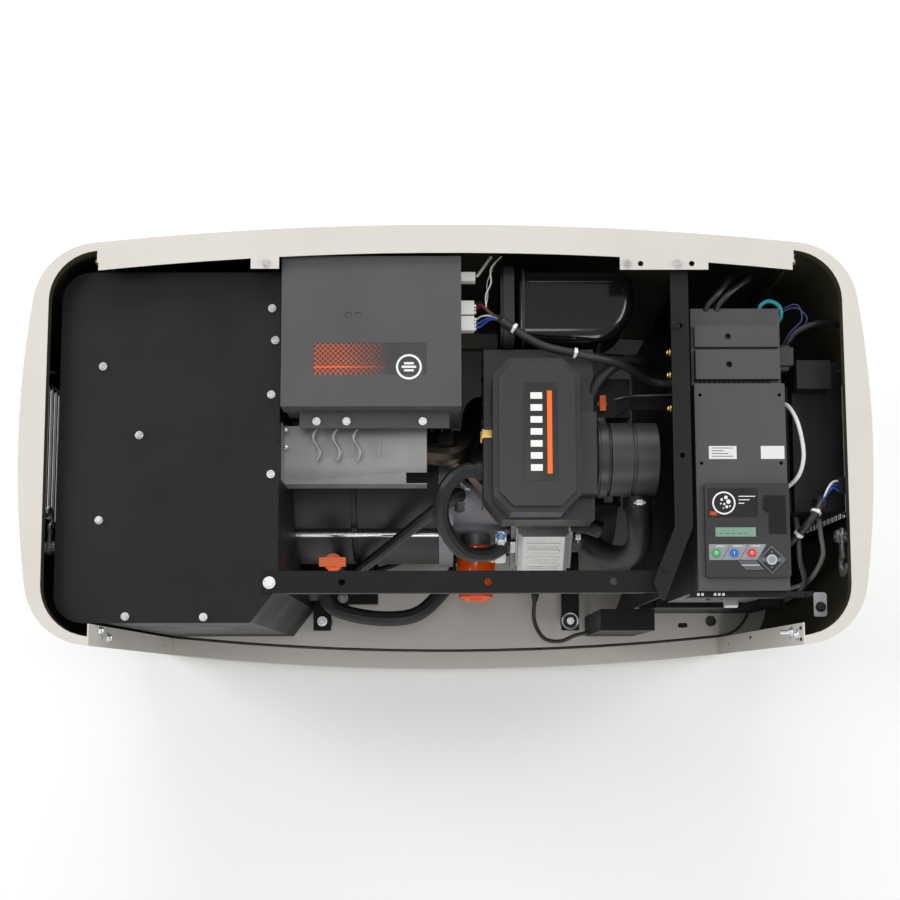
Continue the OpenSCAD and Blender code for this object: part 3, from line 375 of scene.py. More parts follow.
def band(bm, inner, outer, place, length, axis="z", steps=40, width=0.5, tilt=None):
    """A ring with a hole through it."""
    w = min(width, (outer - inner) * 0.3, length * 0.3)
    profile = [(inner, w), (inner + w, 0), (outer - w, 0), (outer, w), (outer, length - w),
               (outer - w, length), (inner + w, length), (inner, length - w), (inner, w)]
    return turned(bm, profile, place, axis, steps, tilt)


def slab(bm, outline, low, high, width=0.6, segments=2):
    """An outline of (x, y) points in mm, raised from z low to z high, with rounded edges."""
    start = set(bm.verts)
    corners = [bm.verts.new((x * MM, y * MM, low * MM)) for x, y in outline]
    base = bm.faces.new(corners)
    top = bmesh.ops.extrude_face_region(bm, geom=[base])["geom"]
    bmesh.ops.translate(bm, vec=(0, 0, (high - low) * MM),
                        verts=[v for v in top if isinstance(v, bmesh.types.BMVert)])
    made = [v for v in bm.verts if v not in start]
    bmesh.ops.recalc_face_normals(bm, faces=list({f for v in made for f in v.link_faces}))
    if width:
        edges = {e for v in made for e in v.link_edges if e.calc_face_angle(0.0) > 0.5}
        bmesh.ops.bevel(bm, geom=list(edges), offset=width * MM, offset_type="OFFSET",
                        segments=segments, profile=0.5, affect="EDGES", clamp_overlap=True, material=-1)
    return [v for v in bm.verts if v not in start]


def move(bm, verts, turn=None, about=(0, 0, 0), by=(0, 0, 0)):
    """Turns vertices about a point, then shifts them; both in millimetres."""
    about, by = Vector(about) * MM, Vector(by) * MM
    if turn is not None:
        matrix = Matrix.Translation(about) @ turn.to_4x4() @ Matrix.Translation(-about)
        bmesh.ops.transform(bm, matrix=matrix, verts=verts)
    bmesh.ops.translate(bm, vec=by, verts=verts)
    return verts


# %% A hexagon bolt with a washer
def bolt(bm, place, r=5, head=4, axis="z", washer=True, tilt=None):
    """A bolt head standing on place: washer, flange and hexagon."""
    up = (tilt.to_matrix().to_4x4() if tilt else AXES[axis]) @ Vector((0, 0, 1))
    at = Vector(place)
    if washer:
        drum(bm, r * 1.55, at, 1.1, axis, 28, 0.3, tilt)
        at = at + up * 1.1
    turned(bm, [(0, 0), (r * 1.25, 0), (r * 1.2, 0.8), (r * 0.9, 1.4), (0, 1.4)], at, axis, 28, tilt)
    hexagon = [(0, 0), (r, 0), (r, head - 0.6), (r * 0.86, head), (r * 0.55, head), (r * 0.5, head - 0.5),
               (0, head - 0.5)]
    turned(bm, hexagon, at, axis, 6, tilt)


# %% A cable, hose or wire along a route
def smooth_route(points, per=6):
    """More points along a smooth curve through the given ones."""
    route = [Vector(p) for p in points]
    last = len(route) - 1
    out = []
    for i in range(last):
        a, b, c, d = route[max(i - 1, 0)], route[i], route[i + 1], route[min(i + 2, last)]
        for s in range(per):
            t = s / per
            out.append(0.5 * (2 * b + (c - a) * t + (2 * a - 5 * b + 4 * c - d) * t * t
                              + (3 * b - a - 3 * c + d) * t ** 3))
    return out + [route[-1]]


def evenly(points, step):
    """Points along the same line, a step apart in millimetres."""
    out, left = [points[0]], step
    for a, b in zip(points, points[1:]):
        span = (b - a).length
        while span > 1e-9 and left <= span:
            out.append(a.lerp(b, left / span))
            left += step
        left -= span
    if (out[-1] - points[-1]).length > step * 0.3:
        out.append(points[-1])
    return out


def cable(name, points, radius, material, ribbed=0.0, body=BODY, resolution=4,
          step=None, per=6):
    """A round cable or hose through points in mm; ribbed is the height of loom corrugations in mm."""
    route = evenly(smooth_route(points, per), step or (2.2 if ribbed else max(radius * 0.9, 3.0)))
    data = bpy.data.curves.new(name, "CURVE")
    data.dimensions = "3D"
    data.bevel_depth = radius * MM
    data.bevel_resolution = resolution
    data.use_fill_caps = True
    spline = data.splines.new("POLY")
    spline.points.add(len(route) - 1)
    for i, (point, at) in enumerate(zip(spline.points, route)):
        point.co = (*(at * MM), 1.0)
        point.radius = 1.0 - (ribbed / radius if ribbed and i % 2 else 0.0)
    holder = bpy.data.objects.new(name + "_curve", data)
    bpy.context.collection.objects.link(holder)
    bpy.context.view_layer.update()
    mesh = bpy.data.meshes.new_from_object(holder.evaluated_get(bpy.context.evaluated_depsgraph_get()))
    bpy.data.objects.remove(holder)
    bpy.data.curves.remove(data)
    bm = bmesh.new()
    bm.from_mesh(mesh)
    bpy.data.meshes.remove(mesh)
    return piece(name, bm, material, body, degrees=50)


print("helpers ready")
# %% [markdown]
# ## The CAD nodes in their real finishes
# Most pieces already have the right shape, so they only need rounded edges and a finish. Sheet steel
# gets a bevel of about half a millimetre, castings and mouldings get more.

# %% Round and finish the nodes
PLAIN = {
    "beige_powder_coat": {"base_skirt": 0.7, "floor_pan": 0.5, "left_end_panel": 0.7,
                          "right_end_panel": 0.7, "rear_panel": 0.7},
    "black_powder_coat": {"rear_exhaust_cover": 0.7, "front_exhaust_cover": 0.7, "engine_baffle": 0.6,
                          "fuel_regulator": 1.0},
    "black_baffle_coat": {"exhaust_enclosure": 0.5, "end_louvers": 0.5, "front_rail": 0.8, "corner_baffle": 0.6,
                          "skid_frame": 0.8, "dipstick_tube": 0.4},
    "wrinkle_black_coat": {"alternator_can": 1.2, "end_bell": 1.2, "stator": 0.6},
    "textured_grey_coat": {"inverter_cover": 1.6},
    "control_grey_coat": {"inverter_case": 0.8, "control_box": 1.2, "control_panel": 0.7},
    "sand_cast_aluminium": {"valve_covers": 1.2},
    # the crankcase, adapter, cylinders and mixer take the darker aluminium: painted shade
    "shade_darkened_aluminium": {"adapter_housing": 1.0, "crankcase": 2.0, "cylinders": 0.8, "fuel_mixer": 1.5},
    "aluminised_sheet": {"heat_shield": 0.6},
    "bare_steel": {"rotor": 0.8, "flywheel": 0.8},
    "heated_steel": {"muffler": 1.0, "exhaust_pipes": 0.8},
    "zinc_plate": {"lock_barrels": 0.5, "left_hook": 0.6, "right_hook": 0.6, "fasteners": 0.4},
    "moulded_black_nylon": {"blower_housing": 1.2, "air_duct": 1.2,
                            "breaker_body": 0.8, "battery": 1.5},
    "soft_black_plastic": {"airbox_base": 1.5, "airbox_cover": 1.4},
    "moulded_grey_nylon": {"resonator": 1.2},
    "black_hose_rubber": {"intake_hose": 0, "hoses": 0, "isolators": 0.8},
    "orange_enamel": {"oil_filter": 1.5},
    "orange_abs": {"dipstick": 1.0, "fuel_selector": 0.8},
    "filter_paper": {"air_filter": 0.4},
    "green_key": {"auto_button": 0.5}, "blue_key": {"manual_button": 0.5}, "red_key": {"off_button": 0.5},
    "dark_grey_key": {"nav_pad": 0.5, "escape_button": 0.4}, "grey_key_film": {"enter_button": 0.5},
    "grey_key": {"breaker_toggle": 0.6},
}
for material, nodes in PLAIN.items():
    for node, width in nodes.items():
        refine(node, material, width)
print(sum(len(nodes) for nodes in PLAIN.values()), "nodes finished")

# %% The inner sides of the end panels and the rear wall get a dark olive colour: painted shade, for walls that stand in shadow
for node in ("left_end_panel", "right_end_panel", "rear_panel"):
    mesh = bpy.data.objects[node + "_finished"].data
    mesh.materials.append(FINISHES["inner_wall_painted_shade"])
    for polygon in mesh.polygons:
        normal, middle = polygon.normal, polygon.center
        inward = normal.x * middle.x + normal.y * middle.y < -0.05 * math.hypot(middle.x, middle.y)
        front_flange = middle.y < -0.24 and abs(middle.x) < 0.53
        if inward and abs(normal.z) < 0.5 and not front_flange:
            polygon.material_index = 1
print("inner sides given painted shade")

# %% [markdown]
# ## The controller
# The owner works the machine from a small moulded bezel. Its keys are printed film over domes, so the
# film is a thin slab, the words are left off, and only plain marks stay: a ring, bars, arrows and dots.
# Every place is counted from the bezel's own box, so the marks stay on it if the bezel moves.


# %% Places counted from a node's box, in millimetres
def span(node):
    """The lowest and highest corner of a node, in millimetres."""
    low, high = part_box(node)
    return Vector(low) / MM, Vector(high) / MM


bezel_low, bezel_high = span("controller_bezel")
face = bezel_high.z
left, front = bezel_low.x, bezel_low.y
print("bezel", [round(v) for v in bezel_low], [round(v) for v in bezel_high])

# %% The bezel itself, with its recesses rounded
refine("controller_bezel", "soft_black_plastic", 0.5)

# %% Display glass, its dark edge bar and the frame round it
lcd = Vector((left + 14.4, front + 58.4, face - 0.7))
blocks("display_glass", lcd, [((0, 0, -0.7), (61.2, 13.7, 0))], "lcd_glass", 0.2)
bm = bmesh.new()
block(bm, lcd + Vector((58, 0.4, 0)), lcd + Vector((60.8, 13.3, 0.25)), 0.1)
for x in range(5, 50, 9):
    block(bm, lcd + Vector((x, 4.4, 0)), lcd + Vector((x + 6, 5.0, 0.08)), 0)
piece("display_marks", bm, "dark_key_film")

# %% The key strip: a light film with slanted gaps between its three fields
bm = bmesh.new()
strip_low, strip_high = front + 25.0, front + 47.5
edges = [left + 4.5, left + 29.5, left + 55.0, left + 80.5]
lean = 13.0
for i in range(3):
    a, b = edges[i], edges[i + 1] - 0.8
    slab(bm, [(a - (lean if i else 0) / 2, strip_low), (b - lean / 2, strip_low), (b + lean / 2, strip_high),
              (a + (lean if i else 0) / 2, strip_high)], face, face + 0.22, 0.08, 1)
piece("key_film", bm, "grey_key_film")
middles = [(a + b) / 2 + 3 for a, b in zip(edges, edges[1:])]
blocks("key_film_bars", (0, strip_high, face), [((x - 6, -3.2, 0.22), (x + 7, -2.0, 0.3)) for x in middles],
       "grey_key", 0)

# %% Plain marks on the three mode keys: a rim and a bar
def top_middle(node):
    """The middle of a node's top, in millimetres."""
    low, high = span(node)
    return Vector(((low.x + high.x) / 2, (low.y + high.y) / 2, high.z))


for node, ringed in (("auto_button", True), ("manual_button", False), ("off_button", True)):
    mid = top_middle(node)
    bm = bmesh.new()
    if ringed:
        band(bm, 1.5, 2.2, mid, 0.12, steps=24, width=0.02)
        block(bm, mid + Vector((-0.3, 0.6, 0)), mid + Vector((0.3, 2.8, 0.14)), 0)
    else:
        block(bm, mid + Vector((-0.4, -2.2, 0)), mid + Vector((0.4, 2.2, 0.12)), 0)
    piece(node + "_mark", bm, "white_nylon", BODY_OF[node])

# %% The rocker pad: a dark inner diamond with four arrows and a light bar
pad = top_middle("nav_pad")
top = pad.z
inner = span("nav_pad")[1].x - pad.x - 3.0
bm = bmesh.new()
for up in (1, -1):
    slab(bm, [(pad.x - inner + 4.2, pad.y + up * 3.4), (pad.x + inner - 4.2, pad.y + up * 3.4),
              (pad.x, pad.y + up * (inner - 0.6))][::up], top, top + 0.2, 0.06, 1)
piece("rocker_pad_film", bm, "dark_key_film", BODY_OF["nav_pad"])
bm = bmesh.new()
for turn in range(4):
    made = slab(bm, [(pad.x - 1.7, pad.y + 10.4), (pad.x + 1.7, pad.y + 10.4), (pad.x, pad.y + 12.6)],
                top + 0.2, top + 0.3, 0)
    move(bm, made, Matrix.Rotation(turn * math.pi / 2, 3, "Z"), (pad.x, pad.y, 0))
piece("rocker_pad_arrows", bm, "grey_key_film", BODY_OF["nav_pad"])
bm = bmesh.new()
band(bm, 5.6, 6.6, top_middle("enter_button"), 0.15, steps=32, width=0.03)
piece("enter_ring", bm, "grey_key", BODY_OF["enter_button"])
mid = top_middle("escape_button")
reach = mid.x - span("escape_button")[0].x
blocks("escape_bar", mid, [((6 - reach, -0.5, 0), (reach - 7, 0.5, 0.1))], "grey_key", 0,
       body=BODY_OF["escape_button"])

# %% The label plate: a white ring with rising dots, and a small patch of orange hatching
plate = Vector((left + 4.4, front + 86.4, face - 0.55))
blocks("label_plate", plate, [((0, 0, -0.45), (71.2, 41.2, 0))], "dark_key_film", 0.12)
mark = plate + Vector((23, 20.6, 0))
bm = bmesh.new()
band(bm, 14.4, 16.6, mark, 0.2, steps=64, width=0.04)
for dx, dy, r in ((-3, 5, 1.9), (3, 8, 2.6), (6.5, 2, 3.2), (0.5, -1.5, 1.6), (4, -5.5, 2.1), (-4.5, -1, 1.1),
                  (8.5, -4.5, 1.2), (-1, -7.5, 1.0)):
    drum(bm, r, mark + Vector((dx, dy, 0)), 0.2, steps=24, width=0.05)
for reach, y in ((45, 9), (37, 4), (29, -1)):
    block(bm, mark + Vector((21, y, 0)), mark + Vector((reach, y + 1.2, 0.1)), 0)
piece("label_ring", bm, "white_nylon")
bm = bmesh.new()
for i in range(4):
    for lean_sign in (1, -1):
        made = block(bm, (-3.4, -0.35, 0), (3.4, 0.35, 0.12), 0)
        move(bm, made, Matrix.Rotation(lean_sign * math.pi / 4, 3, "Z"),
             by=plate + Vector((5 + i * 1.7, 6 - i * 0.3, 0)))
piece("label_hatching", bm, "orange_abs")

# %% The rubber flap over the service port
bm = bmesh.new()
x0, x1, y1 = left + 82.6, left + 116.4, front + 117.4
outline = [(x0 + 4, y1), (x1 - 3, y1), (x1, y1 - 3), (x1, front + 44.5), (x1 - 5.4, front + 41.2),
           (x0 + 10, front + 60.5), (x0 + 8, front + 66), (x0 + 8, front + 92), (x0, front + 98), (x0, y1 - 4)]
slab(bm, outline[::-1], face - 1.0, face - 0.1, 0.35, 2)
piece("service_port_flap", bm, "gloss_black_plastic")
print("controller dressed")

# %% [markdown]
# ## The control box round it
# Behind the bezel lie folded covers, each with a small screw hole, and two blank paper-white rating
# labels. At the back an open slot lets the power cables in. The rest of the box is folded steel, so
# what makes it real is the seams, the screws and the cable entries.

# %% Blank labels with their ruled lines, and the terminal comb on the control box
panel_low, panel_high = span("control_panel")
box_low, box_high = span("control_box")
label = Vector((panel_low.x, bezel_high.y + 36, panel_high.z))
edge = panel_high.x - 3 - panel_low.x
blocks("blank_labels", label, [((a, 0, 0), (min(b, edge), 19, 0.15)) for a, b in ((19, 59), (94, 135))],
       "label_film", 0.05, 1)
rules = [(54 - (i % 3) * 7, 3.6 + i * 4) for i in range(4)]
blocks("label_rules", label, [((23, y, 0.15), (x, y + 0.9, 0.2)) for x, y in rules],
       "dark_key_film", 0)
blocks("terminal_comb", (box_low.x + 12, panel_high.y, panel_low.z),
       [((i * 7.1, 2.0, -3), (i * 7.1 + 3.1, 9.0, -0.6)) for i in range(16)],
       "moulded_black_nylon", 0.4, 1)
print("control box dressed")

# %% [markdown]
# ## Inverter cover decal
# The cover over the inverter carries a sunk decal. The film is printed with an orange lattice that
# fades to the right, crossed by one bright line, with a white ring at its end. The print has no
# thickness worth modelling, so the lattice is a pattern in the material. The ring stands on the film.

# %% The printed lattice
cover_low, cover_high = span("inverter_cover")
decal_low = Vector((cover_low.x + 47.6, cover_low.y + 46.6))
decal_high = Vector((cover_high.x - 50.6, cover_high.y - 129.6))
decal_z = cover_high.z - 0.2
lattice = finish("printed_lattice_film", "#3A3A3B", 0.34, grain_mm=1.4, grain_um=4, mottle=0.03)
tree = lattice.node_tree
place = tree.nodes["Texture Coordinate"]
axes = add(tree, "ShaderNodeSeparateXYZ", {}, {"Vector": place.outputs["Object"]})
PITCH = 7.4 * MM  # the printed lattice repeats every 7.4 mm along the plate


def wave_line(sign):
    """A thin bright line wherever x + sign * y crosses a multiple of the pitch."""
    tilted = add(tree, "ShaderNodeMath", {"operation": "MULTIPLY_ADD", 1: sign},
                 {0: axes.outputs["Y"], 2: axes.outputs["X"]})
    folded = add(tree, "ShaderNodeMath", {"operation": "PINGPONG", 1: PITCH / 2}, {0: tilted.outputs[0]})
    return add(tree, "ShaderNodeMapRange", {1: 0.0, 2: 0.13 * PITCH, 3: 1.0, 4: 0.0},
               {"Value": folded.outputs[0]})


either = add(tree, "ShaderNodeMath", {"operation": "MAXIMUM"},
             {0: wave_line(1.0).outputs["Result"], 1: wave_line(-1.0).outputs["Result"]})
middle = (decal_low.y + decal_high.y) / 2 * MM
offset = add(tree, "ShaderNodeMath", {"operation": "SUBTRACT", 1: middle}, {0: axes.outputs["Y"]})
near = add(tree, "ShaderNodeMath", {"operation": "ABSOLUTE"}, {0: offset.outputs[0]})
stripe = add(tree, "ShaderNodeMapRange", {1: 0.0005, 2: 0.0012, 3: 1.0, 4: 0.0}, {"Value": near.outputs[0]})
marks = add(tree, "ShaderNodeMath", {"operation": "MAXIMUM"},
            {0: either.outputs[0], 1: stripe.outputs["Result"]})
fade_from = decal_low.x * MM + 0.040
fade = add(tree, "ShaderNodeMapRange", {1: fade_from, 2: fade_from + 0.068, 3: 1.0, 4: 0.0},
           {"Value": axes.outputs["X"]})
shown = add(tree, "ShaderNodeMath", {"operation": "MULTIPLY"}, {0: marks.outputs[0], 1: fade.outputs["Result"]})
film = tree.nodes["Principled BSDF"].inputs["Base Color"].links[0].from_socket
printed = add(tree, "ShaderNodeMix", {"data_type": "RGBA"}, {})
tree.links.new(shown.outputs[0], printed.inputs["Factor"])
tree.links.new(film, printed.inputs[6])
printed.inputs[7].default_value = linear("#F4600E")
tree.links.new(printed.outputs[2], tree.nodes["Principled BSDF"].inputs["Base Color"])
blocks("inverter_decal", (0, 0, decal_z), [((*decal_low, -1.4), (*decal_high, 0))],
       "printed_lattice_film", 0.1, 1)
ring = Vector((decal_high.x - 25, (decal_low.y + decal_high.y) / 2, decal_z))
bm = bmesh.new()
band(bm, 15.6, 18.6, ring, 0.25, steps=72, width=0.05)
for dy, w in ((5.2, 7.0), (0, 10.5), (-5.2, 7.0)):
    block(bm, ring + Vector((-w, dy - 1.6, 0)), ring + Vector((w, dy + 1.6, 0.2)), 0.08, 1)
piece("inverter_decal_ring", bm, "white_nylon")
print("decal", [round(v) for v in decal_low], [round(v) for v in decal_high])

# %% [markdown]
# ## Heat shield
# The shield between the inverter and the exhaust is thin aluminised sheet. Three waves are pressed
# up out of it as the plain sign for heat. Each wave is a half-sunk round bead, like the groove that
# a press tool leaves, and the front edge has a second fold.

# %% Pressed waves and rivets on the shield
shield_low, shield_high = span("heat_shield")
BEAD_RADIUS = 2.6  # half of the bead lies in the sheet, so only its crown shows
for i in range(3):
    x0 = shield_low.x + 52 + i * 30
    wave = [(x0 + 5.0 * math.sin(t / 12 * math.tau), shield_high.y - 57 + t * 4.0,
             shield_high.z - BEAD_RADIUS / 2) for t in range(13)]
    cable(f"pressed_wave_{i + 1}", wave, BEAD_RADIUS, "aluminised_sheet", step=1.6)
bm = bmesh.new()
for y in (-10, -36):
    turned(bm, [(3.6, 0), (3.3, 0.9), (2.0, 1.7), (0, 2.0)],
           (shield_low.x + 6, shield_high.y + y, shield_high.z))
piece("shield_rivets", bm, "zinc_plate")
print("shield", [round(v) for v in shield_low], [round(v) for v in shield_high])

# %% [markdown]
# ## Airbox
# The airbox cover is one deep moulding with chamfered corners. A sunk plate runs down its middle with
# an orange stripe, a spring latch closes it on the left, and a strap clamps the neck to the snorkel.

# %% The sunk plate with its stripe
air_low, air_high = span("airbox_cover")
bm = bmesh.new()
sunk = Vector((air_low.x + 44.5, air_low.y + 44.5, air_high.z - 0.4))
wide, long = 47, air_high.y - 40.5 - sunk.y
outline = [(6, 0), (wide - 6, 0), (wide, 6), (wide, long - 6), (wide - 6, long), (6, long), (0, long - 6),
           (0, 6)]
slab(bm, [(sunk.x + x, sunk.y + y) for x, y in outline], sunk.z - 2.2, sunk.z, 0.2, 1)
piece("airbox_plate", bm, "dark_key_film")
blocks("airbox_stripe", sunk, [((wide - 14, 10, 0), (wide - 7, long - 10, 0.2))], "orange_abs",
       0.05, 1)
blocks("airbox_bars", sunk, [((9, 14 + i * 17.5, 0), (26, 23.5 + i * 17.5, 0.2)) for i in range(7)],
       "white_nylon", 0.05, 1)
print("airbox", [round(v) for v in air_low], [round(v) for v in air_high])

# %% [markdown]
# ## Wiring
# Wires leave a connector as single strands and then run together inside a ribbed sleeve, held by ties.
# The ribs are real geometry: the tube's points take turns at two radii. Each route is counted from the
# piece that it starts at, and follows the route that the CAD loom takes.


# %% Routes counted from a corner, and ties round a loom
def route_from(corner, steps):
    """Route points from offsets to a corner, all in millimetres."""
    return [corner + Vector(step) for step in steps]


def tie(bm, at, along, radius):
    """A nylon tie: a thin band with its square head."""
    turn = Vector(along).to_track_quat("Z", "Y")
    start = Vector(at) - Vector(along).normalized() * 2.2
    band(bm, radius, radius + 1.1, start, 4.4, steps=24, width=0.3, tilt=turn)
    made = block(bm, (-2.6, radius - 0.2, -2.6), (2.6, radius + 4.0, 2.6), 0.4, 1)
    move(bm, made, turn.to_matrix(), by=Vector(at))


def ties(name, route, places, radius):
    """One piece with a tie at each place: a stretch of the route and the share of it."""
    bm = bmesh.new()
    for i, share in places:
        tie(bm, route[i].lerp(route[i + 1], share), route[i + 1] - route[i], radius)
    piece(name, bm, "white_nylon")


inv_low, inv_high = span("inverter_case")
out = Vector((inv_high.x, inv_low.y, inv_high.z))
duct_low, duct_high = span("air_duct")
bat_low, bat_high = span("battery")
side = Vector((box_high.x, box_low.y, panel_high.z))
print("wires start at", [round(v) for v in out])

# %% Connectors on the inverter, and the strands between them and the sleeve
bm = bmesh.new()
for y0, y1, z0, z1, reach in ((121, 143, -33, -17, 22), (145, 166, -33, -16, 22), (196, 210, -32, -17, 24)):
    block(bm, out + Vector((0.3, y0, z0)), out + Vector((reach, y1, z1)), 0.8)
for y in (123, 128, 133, 138, 148, 153, 158):
    block(bm, out + Vector((22, y, -28)), out + Vector((25, y + 3.4, -21)), 0.4, 1)
connectors = piece("inverter_connectors", bm, "white_nylon")
sleeve_start = out + Vector((62, 137, -10))
strands = [("blue_wire", 124, -6, 1.7, "cable_blue_1"), ("blue_wire", 129, -2, 1.7, "cable_blue_2"),
           ("white_wire", 136, 2, 1.2, "cable_white_1"), ("black_wire", 150, 4, 1.5, "cable_black_1"),
           ("red_wire", 155, 0, 1.2, "cable_red_1"), ("black_wire", 160, -3, 1.4, "cable_black_2")]
for i, (material, dy, lift, radius, name) in enumerate(strands):
    spread = (i - 2.5) * 1.5
    fan = route_from(out, [(24, dy + 1.6, -24), (32, dy + 6, -20 + lift),
                           (46, 142 + spread * 1.4, -11 + lift * 0.6)])
    join = route_from(sleeve_start, [(-4, spread * 0.6, lift * 0.3), (8, -4, 0)])
    cable(name, fan + join, radius, material)

# %% The ribbed loom from the inverter to the control box
loom = [sleeve_start, *route_from(out, [
    (66, 132, -12), (120, 98, -14), (180, 85, -20), (242, 78, -48), (290, 62, -84), (316, 58, -88),
    (329, 58, -88), (339.6, 58, -88)])]
cable("inverter_loom", loom, 6.6, "soft_black_plastic", ribbed=1.0, resolution=3)
ties("loom_ties", loom, ((1, 0.28), (2, 0.85)), 6.7)
for i, (dx, dz) in enumerate(((0, 0), (3, 1.5))):
    cable(f"twisted_lead_{i + 1}", route_from(out, [
        (38 + dx, 152 - dx, -18), (42 - dx, 172, -15 + dz), (41 + dx * 2, 192, -14),
        (50 - dx, 214, -16 + dz), (60 + dx, 236, -24)]), 1.1, "white_wire" if i else "bare_steel")
COIL_POINTS = 60
coil = []
for i in range(COIL_POINTS):
    t = i / (COIL_POINTS - 1)
    a = i * math.tau / 4
    coil.append(out + Vector((26 + 22 * t + 2.2 * math.cos(a), 204 + 32 * t, -22 - 2 * t + 2.2 * math.sin(a))))
cable("spring_lead", coil, 0.8, "white_wire", resolution=2, step=1.3, per=3)
print("inverter side wired")

# %% Harness on the right: ribbed sleeve from the air duct to the control box, with blue strands
duct_top = Vector((duct_high.x, duct_low.y, duct_high.z))
harness = route_from(duct_top, [(-44, 16, -26), (-44, 15, -8), (-46, 8, 2), (-60, -14, 4), (-78, -38, -12),
                                (-92, -52, -25)])
harness.append(Vector((side.x + 0.4, duct_top.y - 53, duct_top.z - 27)))
cable("duct_harness", harness, 6.4, "soft_black_plastic", ribbed=1.0, resolution=3)
ties("harness_ties", harness, ((2, 0.6), (3, 0.9)), 6.5)
bm = bmesh.new()
block(bm, duct_top + Vector((-22, 22, 0.2)), duct_top + Vector((-6, 46, 9)), 1.0)
piece("duct_connector", bm, "moulded_black_nylon")
for i in range(3):
    cable(f"duct_lead_{i + 1}", route_from(duct_top, [
        (-46 + i, 8 + i, 3), (-38, 22 + i * 3, 7 + i), (-30, 30 + i * 4, 8), (-21.8, 26 + i * 7, 5)]), 1.7,
        "blue_wire" if i < 2 else "white_wire")

# %% White lead in a bow beside the control box, and the two looms that drop to the floor
cable("panel_lead", route_from(side, [
    (0.4, 276, -30), (9, 273, -20), (19, 251, -12), (26, 222, -11), (28, 194, -12), (22, 170, -15),
    (11, 156, -26), (0.4, 150, -36)]), 3.0, "white_wire")
for i, (x, y) in enumerate(((-56, 0), (-17, 6))):
    start = duct_top + Vector((x, -0.4, -92 - i * 14))
    foot = Vector((duct_top.x - 15 + i * 7, duct_low.y - 110 + i * 18, bat_low.z))
    cable(f"drop_loom_{i + 1}", route_from(start, [(0, 0, 0), (2, -26, 2), (5, -64 + y, -3)]) + [
        Vector((duct_top.x - 26 + i * 8, duct_low.y - 96 + y, duct_high.z - 160)),
        Vector((foot.x - 1, foot.y, bat_high.z + 10)), foot + Vector((0, 0, 80)), foot + Vector((0, 2, 0.5))],
        4.2, "white_wire" if i else "grey_key_film", ribbed=0.9, resolution=2)

# %% Power cables from the back of the control box down the rear wall
back = Vector((box_low.x, box_high.y, box_high.z))
for i, (dx, reach) in enumerate(((30, 0), (46, 24))):
    cable(f"power_cable_{i + 1}", route_from(back, [
        (dx, -8, -26), (dx + 2, 3, -14), (dx + 18, 20, -6), (dx + 40 + reach / 2, 50, -30),
        (78 + reach, 70, -90), (80 + reach, 72, -200), (80 + reach, 72, -400)]) + [
        Vector((back.x + 80 + reach, back.y + 70, bat_low.z + 0.5))], 4.4, "black_wire", resolution=5)
edge = Vector((side.x, back.y, back.z))
cable("teal_lead", route_from(edge, [(-26, 0.3, -26), (-24, 8, -22), (-12, 13, -21), (2, 5, -21), (5, -9, -24),
                                     (0.4, -17, -28)]), 3.2, "teal_wire")
bm = bmesh.new()
block(bm, edge + Vector((0.4, -84, -46)), edge + Vector((22, -56, -22)), 2.0, 3)
block(bm, edge + Vector((3, -90, -42)), edge + Vector((16, -83, -28)), 0.8)
block(bm, edge + Vector((5, -57, -40)), edge + Vector((18, -52, -28)), 0.8)
piece("relay_boot", bm, "moulded_grey_nylon")
for i in range(2):
    cable(f"relay_lead_{i + 1}", route_from(edge, [
        (8 + i * 6, -52.5, -34), (18 + i * 9, -34, -26), (36 + i * 8, -14, -24), (30, 8 - i * 5, -24),
        (12, 4 - i * 4, -24), (0.4, -6 - i * 4, -28)]), 1.3, "navy_wire")
end_inner = span("right_end_panel")[1].x - 16
cable("louver_cable", route_from(edge, [(12, -53, -36), (26, -34, -24), (52, -22, -22), (80, -18, -30)]) + [
    Vector((end_inner, back.y - 18, back.z - 44))], 4.6, "black_wire")
print("right side wired")

# %% Battery leads with ring terminals, and the crank sensor lead with its plug
for x, toward, reach, colour in ((bat_low.x + 30, 1, 17, "black"), (bat_high.x - 32, -1, -73, "red")):
    post = Vector((x, bat_low.y + 28, bat_high.z))
    name = "battery_lead_" + colour
    cable(name, route_from(post, [(0, 0, 17), (toward, 4, 36), (reach * 0.5, 24, 56), (reach * 0.95, 46, 66),
                                  (reach, 50, 77.6)]), 5, colour + "_wire")
    bm = bmesh.new()
    band(bm, 4.2, 9.5, post + Vector((0, 0, 14.4)), 2.2, width=0.3)
    bolt(bm, post + Vector((0, 0, 16.6)), 4.4, 4, washer=False)
    piece(name + "_terminal", bm, "brass")
crank_low, crank_high = span("crankcase")
sensor = Vector(((crank_low.x + crank_high.x) / 2 + 53, crank_low.y - 0.4, crank_low.z + 48))
lead = route_from(sensor, [(0, 0, 0), (0, -66, -6), (-2, -120, -28), (16, -154, -37), (46, -160, -37),
                           (72, -150, -32)])
lead.append(Vector((span("corner_baffle")[0].x - 0.4, sensor.y - 145, sensor.z - 28)))
cable("crank_sensor_lead", lead, 3.6, "black_hose_rubber")
bm = bmesh.new()
turned(bm, [(0, 0), (6.5, 0.6), (8.2, 2), (8.2, 15), (7.2, 17), (7.2, 22), (4.0, 34), (0, 34)],
       lead[1] + Vector((0, 8, 1)), tilt=(lead[2] - lead[1]).to_track_quat("Z", "Y"), steps=8)
piece("crank_sensor_plug", bm, "moulded_black_nylon")
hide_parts("wiring")
print("wiring done")

# %% [markdown]
# ## Intake scoop
# Cooling air comes in through a blow-moulded scoop behind the engine. Blow moulding gives large soft
# corners and a high gloss. Its outline is drawn with one big corner, raised to height, bevelled
# widely, opened at its mouth, and given a wall by Solidify. A collar and a rib band go round it.

